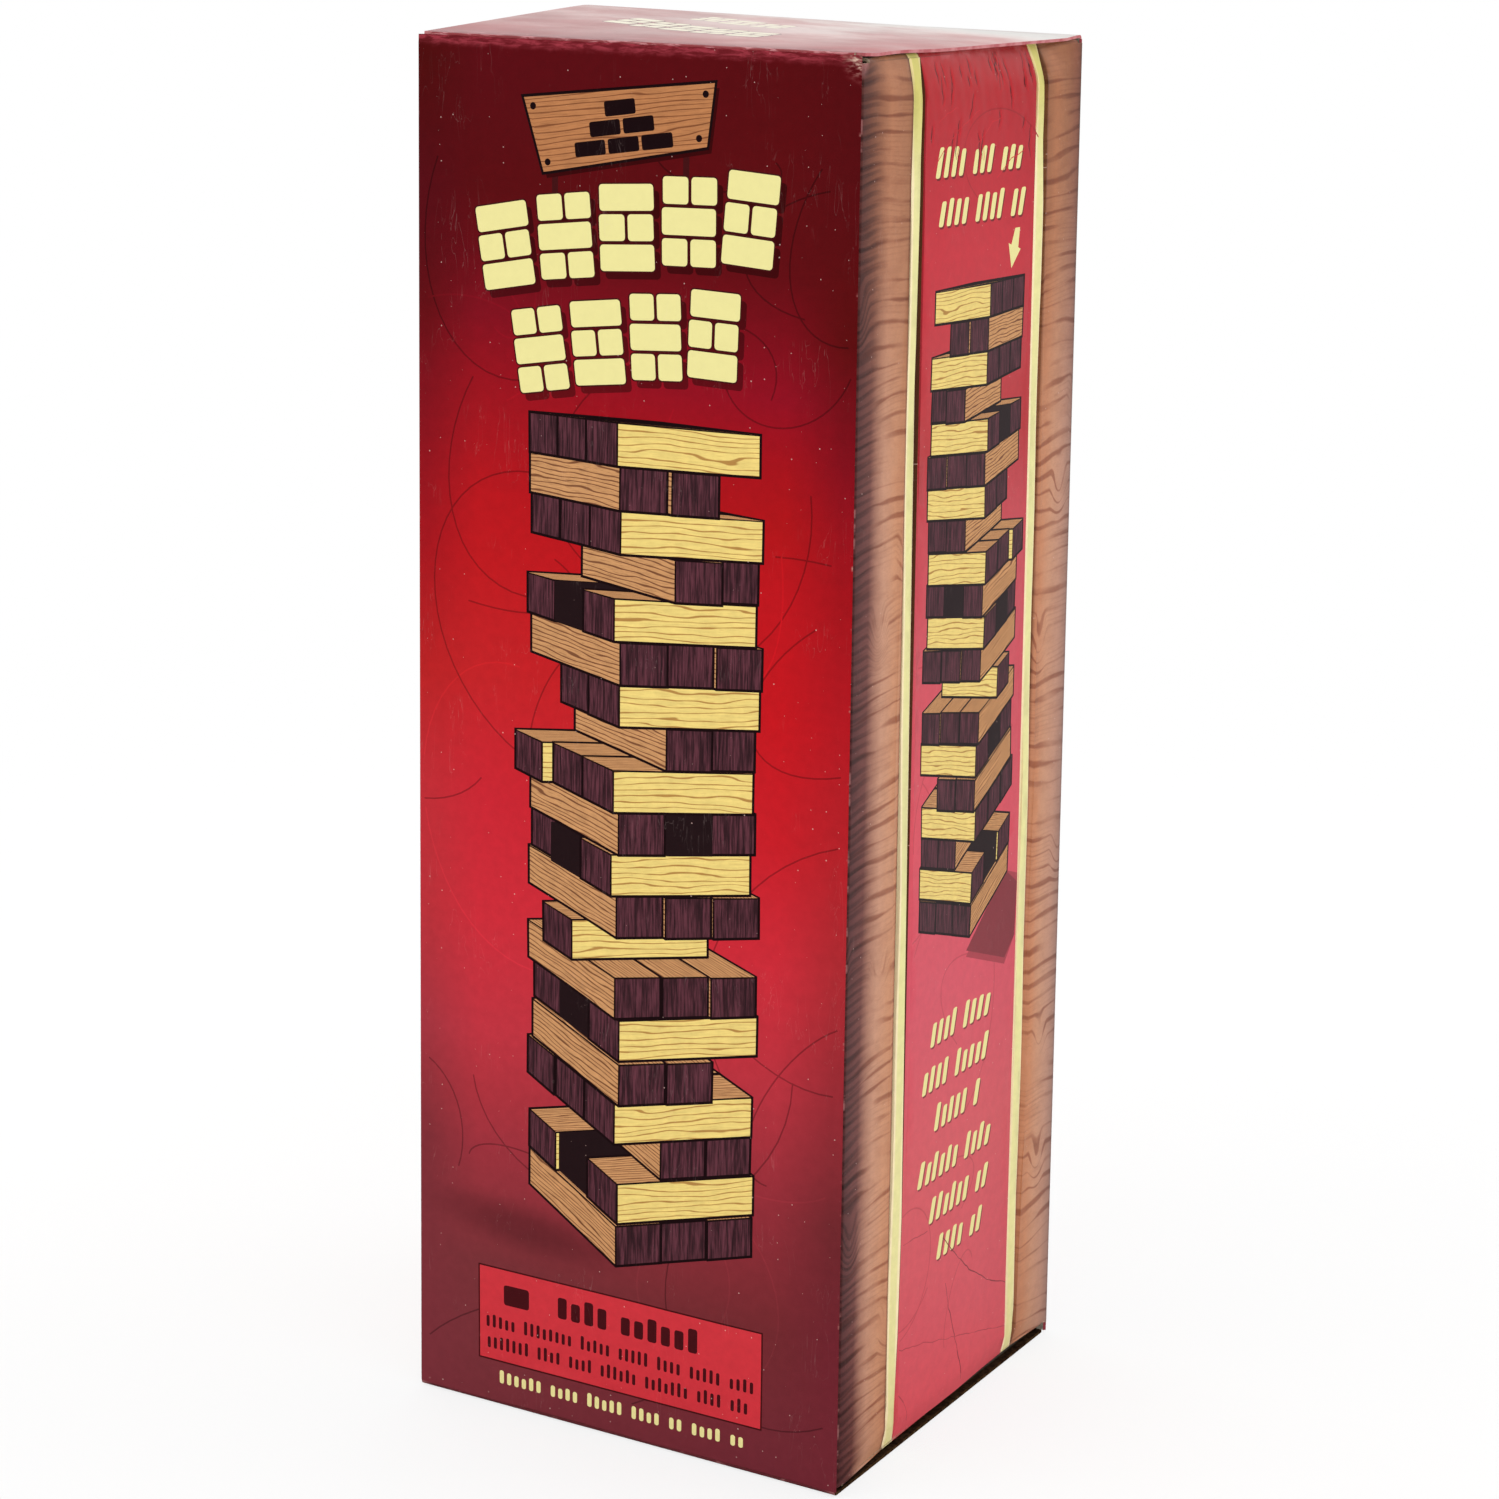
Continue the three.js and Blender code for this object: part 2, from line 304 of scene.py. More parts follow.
def strokes(art, seed, u0, u1, v, h, ink, w, gap, slant=0.0, words=(3, 6), space=1.6, shade=None, climb=0.0):
    """Rows of plain upright bars in groups, like a tally."""
    rr = random.Random(seed)
    u = u0
    while u < u1 - w:
        for _ in range(rr.randint(*words)):
            if u > u1 - w:
                break
            hh = h * rr.uniform(0.72, 1.0)
            cy = v + climb * (u - (u0 + u1) / 2) - (h - hh) / 2
            r = min(w * 0.4, 0.4)
            bar = rrect(u + w / 2, cy, w, hh, 0, r, 2, slant)
            if shade:
                art.add([(x + 0.3, y - 0.35) for x, y in bar], shade)
            art.add(bar, ink)
            u += w + gap
        u += space


def plank_stack(art, cx, cy, w, h, deg, pattern, face="ink_cream", r=0.55, back="ink_shade", line="ink_line", sx=1.0):
    """A little stack of cream planks: one or two to a course."""
    c, s = math.cos(math.radians(deg)), math.sin(math.radians(deg))
    n = len(pattern)
    gap = 0.55
    hh = (h - gap * (n - 1)) / n
    bars = []
    for i, (parts, dx, ww) in enumerate(pattern):
        y = (i - (n - 1) / 2) * (hh + gap)
        pw = (w * ww - gap * (parts - 1)) / parts
        for k in range(parts):
            x = dx * w + (k - (parts - 1) / 2) * (pw + gap)
            bars.append(rrect(cx + x * c - y * s, cy + x * s + y * c, pw, hh, deg, r))
    for b in bars:
        art.add([(x + 1.0 * sx, y - 1.1 * sx) for x, y in offset(b, 0.1)], back)
    for b in bars:
        art.add(offset(b, 0.24), line)
    for b in bars:
        art.add(b, face)


_r = random.Random(14)
CREASES = []
for _k in range(34):                        # (u, top, length, slope, depth, phase) of cracks in the rolled board
    _top = _r.uniform(0.3, 13.0) if _k % 3 else _r.uniform(0.2, 1.5)
    CREASES.append((_r.uniform(22.2, 61.2), _top, _r.uniform(1.6, 5.6), _r.uniform(-0.16, 0.16), _r.uniform(0.07, 0.17), _r.uniform(0, 6)))


def crease_u(c, d):
    """Where a crack runs at depth d below the top fold."""
    return c[0] + c[3] * d + 0.30 * math.sin(d * 0.9 + c[5]) + 0.12 * math.sin(d * 2.7 + 2 * c[5])


def cracks(art, top):
    for c in CREASES:
        n = max(3, int(c[2] / 0.55))
        left, right, pale = [], [], []
        for i in range(n + 1):
            d = c[1] + c[2] * i / n
            w = 0.04 + c[4] * 1.45 * math.sin(math.pi * min(max(i / n, 0.04), 0.97))
            x = crease_u(c, d)
            left.append((x - w, top - d))
            right.append((x + w * 0.5, top - d))
            pale.append((x + 0.42 + w, top - d - 0.2))
        # painted highlight: a pale line on the raised ridge beside each crack
        art.line(pale, 0.13, "crimson_pale")
        # the crack drawn dark: partly a real crack in the print, partly painted shade of the groove that wall_surf cuts
        art.add(left + right[::-1], "crimson_crack" if c[4] > 0.10 else "crimson_deep")
    for pts in ([(24.5, 209.5), (30.0, 213.4), (36.5, 216.2), (42.0, 218.0)], [(26.0, 216.5), (29.0, 218.1), (33.0, 218.6)],
                [(40.0, 212.0), (46.0, 215.5), (50.0, 216.4)], [(48.0, 206.6), (54.5, 209.6), (59.0, 210.2)]):
        fine = []
        for (a, b), (c, d) in zip(pts, pts[1:]):
            fine += [(a + (c - a) * k / 6, b + (d - b) * k / 6 + 0.18 * math.sin(7 * k + a)) for k in range(6)]
        art.line(fine, 0.16, "crimson_pale")


def hairline(art, pts, width, seed, ink="crimson_dark"):
    r = random.Random(seed)
    fine = []
    for (a, b), (c, d) in zip(pts, pts[1:]):
        k = max(2, int(math.hypot(c - a, d - b) / 1.1))
        fine += [(a + (c - a) * i / k + r.uniform(-0.14, 0.14), b + (d - b) * i / k + r.uniform(-0.14, 0.14)) for i in range(k)]
    fine.append(pts[-1])
    for i in range(0, len(fine) - 1, 2):
        art.line(fine[i:i + 3], width * r.uniform(0.5, 1.2), ink)


STACKS = (((1, 0, 1.0), (2, 0, 1.0), (1, 0.02, 1.0)), ((2, 0, 1.0), (1, 0, 1.0), (2, 0.02, 1.0)))


def front_art(seed):
    art = Art(shift_front)
    scribbles(art, seed, 36, 0.8, W - 0.8, 3, 212, ("red_dark", "red_dark", "red_dark", "red_light"), (9, 30))
    # sign board on two posts
    for u, v0, v1 in ((26.3, 203.0, 211.0), (50.0, 206.0, 214.0)):
        art.add([(u - 0.55, v0), (u + 0.55, v0), (u + 0.55, v1), (u - 0.55, v1)], "ink_line")
    board = [(24.1, 208.5), (53.7, 213.6), (55.0, 223.2), (20.4, 219.7)]
    art.add([(x + 0.7, y - 0.8) for x, y in board], "ink_shade")
    art.add(offset(board, 0.32), "ink_black")
    art.add(offset(board, -0.12), "ink_board", affine((24, 209), 7.5), 3.0)
    for u, v in ((22.2, 218.4), (53.3, 221.4), (24.9, 210.2), (52.2, 214.9)):
        art.add(disc(u, v, 0.55), "ink_black")
    ca, sa = math.cos(math.radians(7.5)), math.sin(math.radians(7.5))
    for row, n in enumerate((3, 2, 1)):
        for i in range(n):
            x, y = (i - (n - 1) / 2) * 6.1, (row - 1) * 2.75
            art.add(rrect(38.4 + x * ca - y * sa, 216.1 + x * sa + y * ca, 5.6, 2.25, 7.5, 0.35), "ink_black")
    # headline of toppling blocks
    for i, (u, v, w, h, a) in enumerate(((17.0, 196.8, 9.6, 13.2, 10), (28.2, 198.9, 9.8, 13.2, 6), (39.4, 200.8, 9.8, 13.4, 3),
                                         (50.6, 202.3, 9.6, 13.6, 1), (61.4, 203.2, 9.0, 14.2, -4))):
        plank_stack(art, u, v, w, h, a, STACKS[i % 2])
    for i, (u, v, w, h, a) in enumerate(((23.6, 180.8, 9.2, 13.2, 9), (34.2, 182.6, 9.2, 13.2, 6), (44.8, 184.2, 9.2, 13.4, 3),
                                         (55.2, 185.2, 8.8, 13.6, -2))):
        plank_stack(art, u, v, w, h, a, STACKS[(i + 1) % 2])
    tower(art, 38.4, 30.4, 1.0, False, seed)
    # plain panel and bars
    panel = [(11.4, 7.9), (66.5, 7.9), (66.5, 24.9), (11.4, 24.9)]
    art.add(panel, "ink_line")
    art.add(offset(panel, -0.28), "ink_panel")
    art.add(rrect(19.0, 20.2, 5.0, 3.6, 0, 0.5), "ink_bar")
    strokes(art, 3, 27.2, 54.8, 20.5, 4.2, "ink_bar", 1.75, 0.85, 0, (4, 6), 2.0)
    strokes(art, 4, 13.0, 65.2, 15.1, 2.5, "ink_bar", 0.62, 0.62, 0, (4, 8), 1.3)
    strokes(art, 5, 13.2, 65.0, 11.3, 2.5, "ink_bar", 0.62, 0.62, 0, (3, 7), 1.3)
    strokes(art, 6, 15.6, 63.3, 5.3, 2.5, "ink_cream", 0.85, 0.62, 0, (2, 6), 1.4)
    return art


def side_art(seed, width=W, v0=SIDE_V0, v1=SIDE_V1):
    art = Art()
    bands(art, v0, v1)
    art.shift = shift_side
    scribbles(art, seed + 2, 12, 21.3, 62.2, 4, 221, ("crimson_soft",), (8, 22))
    kw = dict(slant=0.30, shade="crimson_deep", space=2.4)
    strokes(art, 11, 25.3, 58.2, 210.9, 4.9, "ink_cream", 1.55, 1.15, words=(3, 4), **kw)
    strokes(art, 12, 26.6, 58.6, 203.4, 4.9, "ink_cream", 1.55, 1.15, words=(3, 5), **kw)
    arrow = [(54.3, 199.0), (56.0, 199.0), (55.5, 195.8), (56.4, 195.5), (53.2, 192.6), (52.0, 196.7), (53.0, 196.4)]
    art.add(arrow, "ink_cream")
    # tower, mirrored, with the soft shadow at its foot
    for k, ink in ((0, "crimson_mid"), (1, "crimson_deep")):
        g = 1.6 - 1.1 * k
        art.add([(44.0, 80.6 - g), (58.5, 75.8 - g), (62.0, 78.6), (62.2, 89.5 - 1.5 * k), (57.5, 91.0)], ink)
    tower(art, 45.2, 82.4, 0.775, True, seed, out=0.24)
    for sd, u0, u1, v in ((21, 31.3, 54.8, 69.0), (22, 28.3, 57.8, 61.4), (23, 33.3, 52.6, 54.0),
                          (24, 27.6, 58.6, 45.4), (25, 32.3, 55.0, 37.9), (26, 35.6, 53.0, 30.5)):
        strokes(art, sd, u0, u1, v, 4.7, "ink_cream", 1.5, 1.1, words=(3, 7), **kw)
    art.shift = None
    cracks(art, SIDE_V1)
    hairline(art, [(37.9, 23.0), (38.8, 19.4), (41.8, 11.8), (44.1, 5.9), (44.6, 3.4)], 0.20, 1, "crimson_deep")
    hairline(art, [(21.4, 16.9), (30.0, 15.3), (41.5, 12.4), (52.0, 9.6), (62.0, 6.8)], 0.15, 2)
    hairline(art, [(36.6, 31.5), (41.9, 26.6), (48.0, 21.8), (55.5, 17.6), (62.0, 15.0)], 0.18, 3, "crimson_deep")
    hairline(art, [(22.0, 35.0), (30.5, 34.6)], 0.16, 4)
    hairline(art, [(21.6, 9.0), (24.2, 6.2), (25.0, 3.4)], 0.2, 5)
    return art


STRIPES = ((17.25, 20.95), (62.2, 65.9))


def bands(art, v0, v1, flip=False):
    """The wood bands are the base print. The crimson strip and its two borders go over it."""
    f = (lambda a, b: (W - b, W - a)) if flip else (lambda a, b: (a, b))
    def col(a, b, ink):
        a, b = f(a, b)
        art.add([(a, v0), (b, v0), (b, v1), (a, v1)], ink)
    col(STRIPES[0][0] - 0.16, STRIPES[1][1] + 0.16, "ink_brown")
    col(STRIPES[0][0], STRIPES[1][1], "ink_stripe")
    col(STRIPES[0][1], STRIPES[1][0], "ink_brown")
    col(STRIPES[0][1] + 0.14, STRIPES[1][0] - 0.14, "side_crimson")


# ------------------------------------------------------------------ node helper
def lin(r, g, b, a=1.0):
    f = lambda c: c / 12.92 if c <= 0.04045 else ((c + 0.055) / 1.055) ** 2.4
    return (f(r / 255), f(g / 255), f(b / 255), a)


class N:
    def __init__(self, tree):
        self.t = tree

    def new(self, kind, **props):
        n = self.t.nodes.new(kind)
        for k, v in props.items():
            setattr(n, k, v)
        return n

    def put(self, sock, v):
        if isinstance(v, bpy.types.NodeSocket):
            self.t.links.new(v, sock)
        elif v is not None:
            if hasattr(sock.default_value, "__len__") and not hasattr(v, "__len__"):
                v = (v,) * len(sock.default_value)
            sock.default_value = v

    def m(self, op, a, b=None, c=None, clamp=False):
        n = self.new("ShaderNodeMath", operation=op, use_clamp=clamp)
        for i, v in enumerate((a, b, c)):
            if v is not None:
                self.put(n.inputs[i], v)
        return n.outputs[0]

    def vm(self, op, a, b=None):
        n = self.new("ShaderNodeVectorMath", operation=op)
        self.put(n.inputs[0], a)
        if b is not None:
            self.put(n.inputs[1], b)
        return n.outputs["Value"] if op in ("LENGTH", "DOT_PRODUCT", "DISTANCE") else n.outputs[0]

    def mix(self, f, a, b, mode="MIX"):
        n = self.new("ShaderNodeMix", data_type="RGBA", blend_type=mode)
        self.put(n.inputs[0], f)
        self.put(n.inputs[6], a)
        self.put(n.inputs[7], b)
        return n.outputs[2]

    def noise(self, vec, scale, detail=2.0, rough=0.5, dist=0.0):
        n = self.new("ShaderNodeTexNoise")
        self.put(n.inputs["Vector"], vec)
        n.inputs["Scale"].default_value = scale
        n.inputs["Detail"].default_value = detail
        n.inputs["Roughness"].default_value = rough
        n.inputs["Distortion"].default_value = dist
        return n.outputs[0]

    def ramp(self, f, stops, interp="LINEAR"):
        n = self.new("ShaderNodeValToRGB")
        n.color_ramp.interpolation = interp
        e = n.color_ramp.elements
        while len(e) > 1:
            e.remove(e[-1])
        for i, (p, c) in enumerate(stops):
            el = e[0] if i == 0 else e.new(p)
            el.position = p
            el.color = c if len(c) == 4 else (*c, 1)
        self.put(n.inputs[0], f)
        return n.outputs[0]

    def xyz(self, vec):
        n = self.new("ShaderNodeSeparateXYZ")
        self.put(n.inputs[0], vec)
        return n.outputs[0], n.outputs[1], n.outputs[2]

    def comb(self, x, y, z=0.0):
        n = self.new("ShaderNodeCombineXYZ")
        for i, v in enumerate((x, y, z)):
            self.put(n.inputs[i], v)
        return n.outputs[0]

    def attr(self, name):
        return self.new("ShaderNodeAttribute", attribute_name=name).outputs["Vector"]

    def step(self, x, a, b):
        """0 below a, 1 above b, smooth between. a may be above b."""
        n = self.new("ShaderNodeMapRange", interpolation_type="SMOOTHSTEP")
        lo, hi, o0, o1 = (a, b, 0.0, 1.0) if a < b else (b, a, 1.0, 0.0)
        self.put(n.inputs[0], x)
        for i, v in zip((1, 2, 3, 4), (lo, hi, o0, o1)):
            n.inputs[i].default_value = v
        return n.outputs[0]

    def scaled(self, vec, s):
        return self.vm("MULTIPLY", vec, s)


MATS = {}


def new_mat(name):
    m = bpy.data.materials.new(name)
    m.use_nodes = True
    m.node_tree.nodes.clear()
    MATS[name] = m
    return m, N(m.node_tree)


def close(n, color, rough, spec=0.5, normal=None, sheen=0.0):
    p = n.new("ShaderNodeBsdfPrincipled")
    n.put(p.inputs["Base Color"], color)
    n.put(p.inputs["Roughness"], rough)
    n.put(p.inputs["Specular IOR Level"], spec)
    if normal is not None:
        n.put(p.inputs["Normal"], normal)
    o = n.new("ShaderNodeOutputMaterial")
    n.t.links.new(p.outputs[0], o.inputs[0])


def bump(n, height, strength, dist):
    b = n.new("ShaderNodeBump")
    b.inputs["Strength"].default_value = strength
    b.inputs["Distance"].default_value = dist
    n.put(b.inputs["Height"], height)
    return b.outputs[0]


def coated(n, color, pc, rough=0.40, spec=0.5, worn=None, specks=1.0, mottle=0.06, rub_to=None):
    """Printed, varnished board: pin specks, faint rubs, fibre under the varnish."""
    u, v, w = n.xyz(pc)
    flat = n.comb(u, v, 0.0)
    # print mottle
    mott = n.noise(flat, 0.55, 3, 0.6)
    color = n.mix(1.0, color, n.ramp(mott, ((0.3, (1 - mottle,) * 3), (0.7, (1 + mottle * 0.7,) * 3))), "MULTIPLY")
    # pin specks where the ink missed the board
    vo = n.new("ShaderNodeTexVoronoi", voronoi_dimensions="2D", feature="F1")
    n.put(vo.inputs["Vector"], flat)
    vo.inputs["Scale"].default_value = 0.42
    r1, r2, r3 = n.xyz(vo.outputs["Color"])
    size = n.m("MULTIPLY", n.m("POWER", r1, 3.0), 0.05 * specks)
    dot = n.m("MULTIPLY", n.m("LESS_THAN", vo.outputs["Distance"], size), n.m("GREATER_THAN", r2, 0.62))
    color = n.mix(n.m("MULTIPLY", dot, 0.55), color, lin(226, 190, 180))
    # faint rubs
    rub = n.noise(n.vm("MULTIPLY", flat, (0.35, 0.055, 1)), 1.0, 3, 0.55, 1.2)
    rub = n.m("LESS_THAN", n.m("ABSOLUTE", n.m("SUBTRACT", rub, 0.5)), 0.0035)
    gate = n.step(n.noise(flat, 0.07, 2), 0.52, 0.62)
    color = n.mix(n.m("MULTIPLY", n.m("MULTIPLY", rub, gate), 0.05), color, lin(235, 205, 200))
    if worn is not None:
        color = n.mix(worn, color, rub_to if rub_to is not None else lin(196, 128, 126))
    fib = n.noise(n.vm("MULTIPLY", flat, (1.6, 2.6, 1)), 1.0, 4, 0.6)
    big = n.noise(flat, 0.09, 2)
    rg = n.m("ADD", n.m("MULTIPLY", big, 0.10), rough - 0.05)
    rg = n.m("ADD", rg, n.m("MULTIPLY", n.m("SUBTRACT", fib, 0.5), 0.10))
    close(n, color, rg, spec, bump(n, fib, 0.22, 0.00004))


def zramp(n, z, stops):
    """Colour against height, from (z, (r, g, b) in 0-255) pairs."""
    return n.ramp(n.m("DIVIDE", z, H), sorted((zz / H, lin(*c)) for zz, c in stops))


def vee(c, veil, gain=1.0):
    """Takes the varnish's own reflection out of a colour seen in daylight."""
    f = lambda x: 12.92 * x if x <= 0.0031308 else 1.055 * x ** (1 / 2.4) - 0.055
    l = [max((x - veil) * gain, 0.0012) for x in lin(*c)[:3]]
    return tuple(255 * min(f(x), 1) for x in l)


# ------------------------------------------------------------------ inks
FRONT_Z = (224, 205, 195, 185, 175, 165, 155, 145, 125, 105, 85, 65, 55, 45, 25, 3)
FRONT_U = {
    2: ((82, 17, 21), (89, 15, 27), (92, 19, 26), (102, 21, 26), (123, 22, 31), (137, 23, 32), (151, 24, 32), (164, 25, 32), (182, 36, 38), (189, 46, 54), (183, 49, 57), (164, 54, 64), (146, 51, 59), (128, 49, 56), (124, 51, 58), (122, 51, 59)),
    12: ((93, 18, 26), (93, 19, 24), (106, 21, 28), (129, 22, 34), (150, 23, 33), (165, 25, 33), (182, 26, 32), (187, 28, 33), (192, 37, 41), (199, 40, 52), (202, 46, 58), (189, 53, 65), (172, 52, 62), (156, 52, 62), (122, 52, 57), (121, 52, 59)),
    68: ((91, 17, 24), (97, 18, 24), (99, 17, 25), (123, 19, 30), (144, 21, 36), (163, 22, 30), (174, 24, 28), (187, 25, 32), (193, 26, 33), (196, 32, 41), (200, 45, 57), (181, 52, 63), (161, 50, 60), (144, 48, 57), (115, 45, 50), (115, 46, 55)),
    78: ((88, 17, 24), (91, 15, 24), (94, 18, 23), (95, 16, 22), (115, 18, 28), (131, 19, 31), (151, 22, 31), (160, 23, 30), (177, 27, 35), (177, 35, 42), (170, 44, 51), (148, 45, 53), (134, 45, 52), (113, 43, 48), (112, 40, 49), (113, 43, 52)),
}
FRONT_VEIL, FRONT_GAIN = 0.006, 0.995


def red_ink(name, gain):
    m, n = new_mat(name)
    pc = n.attr("pc")
    u, v, w = n.xyz(pc)
    cols = {}
    for uu, cs in FRONT_U.items():
        cols[uu] = zramp(n, v, [(z, vee(c, FRONT_VEIL, FRONT_GAIN)) for z, c in zip(FRONT_Z, cs)])
    c = n.mix(n.m("DIVIDE", n.m("SUBTRACT", u, 2.0), 10.0, clamp=True), cols[2], cols[12])
    c = n.mix(n.m("DIVIDE", n.m("SUBTRACT", u, 12.0), 56.0, clamp=True), c, cols[68])
    c = n.mix(n.m("DIVIDE", n.m("SUBTRACT", u, 68.0), 10.0, clamp=True), c, cols[78])
    # soft shadow left of the drawn tower's foot
    du, dv = n.m("DIVIDE", n.m("SUBTRACT", u, 21.0), 21.0), n.m("DIVIDE", n.m("SUBTRACT", v, n.m("SUBTRACT", 34.5, n.m("MULTIPLY", u, 0.10))), 5.0)
    d = n.m("SQRT", n.m("ADD", n.m("MULTIPLY", du, du), n.m("MULTIPLY", dv, dv)))
    c = n.mix(n.m("MULTIPLY", n.step(d, 1.15, 0.2), 0.42), c, (0.02, 0.004, 0.006, 1))
    if gain != 1.0:
        c = n.mix(1.0, c, (gain, gain, gain, 1), "MULTIPLY")
    # rubbed shoulder along the top edge and a few rubbed spots on the folds
    edge = n.m("ADD", v, n.m("MULTIPLY", n.m("SUBTRACT", n.noise(n.comb(u, 0, 0), 0.45, 3), 0.5), 1.6))
    dash = n.noise(n.vm("MULTIPLY", pc, (0.35, 1.7, 1)), 0.9, 4, 0.65, 0.5)
    worn = n.m("MULTIPLY", n.step(edge, H - 2.3, H - 0.8), n.m("ADD", 0.18, n.m("MULTIPLY", n.step(dash, 0.40, 0.66), 0.72)))
    fold = n.m("MINIMUM", u, n.m("SUBTRACT", W, u))
    chip = n.m("MULTIPLY", n.step(fold, 0.55, 0.1), n.step(n.noise(n.comb(0, v, 0), 0.33, 3), 0.60, 0.68))
    corner = n.vm("DISTANCE", n.comb(u, v, 0), (W + 0.4, H - 0.6, 0))
    worn = n.m("MAXIMUM", worn, n.m("MULTIPLY", chip, 0.55))
    cw = n.m("MULTIPLY", n.step(corner, 4.8, 0.8), n.step(n.noise(n.vm("MULTIPLY", pc, (0.8, 2.0, 1)), 0.9, 3), 0.38, 0.68))
    worn = n.m("MAXIMUM", worn, cw, clamp=True)
    coated(n, c, pc, spec=0.07, worn=worn, rub_to=n.mix(n.m("MAXIMUM", cw, n.m("MULTIPLY", chip, 0.6)), lin(160, 56, 68), lin(222, 194, 174)))


red_ink("red_front", 1.0)
red_ink("red_dark", 0.56)
red_ink("red_light", 1.14)
red_ink("ink_shade", 0.42)


def flat_ink(name, rgb, veil=0.004, spec=0.2, **kw):
    m, n = new_mat(name)
    pc = n.attr("pc")
    coated(n, n.mix(1.0, lin(*vee(rgb, veil)), (1, 1, 1, 1), "MULTIPLY"), pc, spec=spec, **kw)


flat_ink("ink_black", (34, 17, 20))
flat_ink("ink_gap", (41, 24, 27))
flat_ink("ink_line", (72, 14, 19))
flat_ink("ink_brown", (84, 46, 28))
flat_ink("ink_cream", (234, 225, 153), specks=0.4, mottle=0.02)
flat_ink("lid_cream", (246, 240, 218), specks=0.4, mottle=0.02)
flat_ink("ink_panel", (206, 48, 58))
flat_ink("ink_bar", (74, 14, 22))


def under_shade():
    """Painted shade on the turned-under bottom flaps: dark brown where the gap under the side walls lies in shadow."""
    m, n = new_mat("ink_under")
    pc = n.attr("pc")
    a = n.noise(pc, 0.7, 4, 0.6)
    d = n.new("ShaderNodeBsdfDiffuse")
    n.put(d.inputs[0], n.mix(n.step(a, 0.35, 0.65), lin(30, 16, 10), lin(66, 46, 30)))
    o = n.new("ShaderNodeOutputMaterial")
    n.t.links.new(d.outputs[0], o.inputs[0])


under_shade()


def grain_ink(name, base, dark, pitch, width, wob, stretch, fine):
    """Drawn wood: dark lines along the block, from the shape's own grain coordinates."""
    m, n = new_mat(name)
    pc, g = n.attr("pc"), n.attr("gr")
    s, t, seed = n.xyz(g)
    p = n.comb(n.m("MULTIPLY", s, stretch), t, n.m("MULTIPLY", seed, 3.7))
    warp = n.noise(p, 0.30, 2, 0.5)
    f = n.m("ADD", n.m("DIVIDE", t, pitch), n.m("MULTIPLY", warp, wob))
    f = n.m("ADD", f, seed)
    d = n.m("PINGPONG", f, 0.5)
    thick = n.m("MULTIPLY", n.noise(n.vm("MULTIPLY", p, (1.4, 1.2, 1)), 0.9, 2), width * 2.0)
    mask = n.step(n.m("SUBTRACT", d, thick), 0.05, -0.02)
    tone = n.noise(n.vm("MULTIPLY", p, (1, 2.5, 1)), 0.8, 3)
    c = n.mix(n.m("MULTIPLY", n.step(tone, 0.35, 0.7), 0.35), lin(*base), lin(*[x * 0.86 for x in base]))
    fib = n.noise(n.vm("MULTIPLY", p, (2.0, 9, 1)), 1.0, 2)
    c = n.mix(n.m("MULTIPLY", n.step(fib, 0.52, 0.66), fine), c, lin(*dark))
    c = n.mix(n.m("MULTIPLY", mask, 0.85), c, lin(*dark))
    coated(n, c, pc, spec=0.2, specks=0.4)


grain_ink("ink_light", (240, 213, 124), (166, 112, 48), 1.05, 0.075, 3.2, 0.16, 0.18)
grain_ink("ink_tan", (206, 150, 98), (104, 55, 30), 0.80, 0.11, 3.4, 0.15, 0.35)
grain_ink("ink_board", (188, 124, 76), (118, 64, 32), 0.85, 0.08, 3.4, 0.14, 0.35)


def end_ink():
    m, n = new_mat("ink_end")
    pc, g = n.attr("pc"), n.attr("gr")
    s, t, seed = n.xyz(g)
    p = n.comb(s, n.m("MULTIPLY", t, 0.12), n.m("MULTIPLY", seed, 2.3))
    a = n.noise(n.vm("MULTIPLY", p, (1.5, 1, 1)), 1.2, 3, 0.6)
    b = n.noise(n.vm("MULTIPLY", p, (4.5, 1.5, 1)), 1.0, 2, 0.6)
    c = n.mix(n.step(a, 0.36, 0.64), lin(54, 25, 32), lin(101, 50, 62))
    c = n.mix(n.m("MULTIPLY", n.step(b, 0.50, 0.62), 0.6), c, lin(42, 18, 25))
    coated(n, c, pc, spec=0.2, specks=0.5)


end_ink()

# Crimson against height. The two lowest stops (z 18 and 4) are painted light: made lighter to offset the floor's shade
# at the foot of the wall.
CRIMSON = ((224, (177, 52, 56)), (210, (186, 54, 62)), (195, (197, 59, 69)), (180, (192, 66, 73)), (165, (184, 64, 68)), (150, (199, 78, 87)),
           (135, (205, 85, 96)), (105, (214, 86, 99)), (75, (211, 89, 103)), (45, (210, 94, 101)), (18, (209, 89, 99)), (4, (214, 88, 97)))
SIDE_VEIL = 0.026


def crimson(name, gain):
    m, n = new_mat(name)
    pc = n.attr("pc")
    u, v, w = n.xyz(pc)
    c = zramp(n, v, [(z, vee(c, SIDE_VEIL, 1.08)) for z, c in CRIMSON])
    c = n.mix(n.m("MULTIPLY", n.step(u, 45, 62), 0.22), c, n.mix(1.0, c, (0.74, 0.72, 0.74, 1), "MULTIPLY"))
    if gain != 1.0:
        c = n.mix(1.0, c, (gain, gain * 0.9, gain * 0.9, 1), "MULTIPLY")
    worn = n.m("MULTIPLY", n.step(v, H - 3.2, H - 1.3), n.m("MULTIPLY", n.step(n.noise(pc, 0.5, 2), 0.40, 0.68), 0.36))
    coated(n, c, pc, rough=0.36, spec=0.32, worn=worn, rub_to=lin(206, 118, 122))


crimson("side_crimson", 1.0)
# lighter crimson, for pale scuffs and for the painted highlight beside each crack
crimson("crimson_pale", 1.22)
crimson("crimson_dark", 0.62)
crimson("crimson_soft", 0.80)
crimson("crimson_mid", 0.60)
crimson("crimson_deep", 0.36)
# darkest crimson: painted shade inside the deeper cracks
crimson("crimson_crack", 0.20)


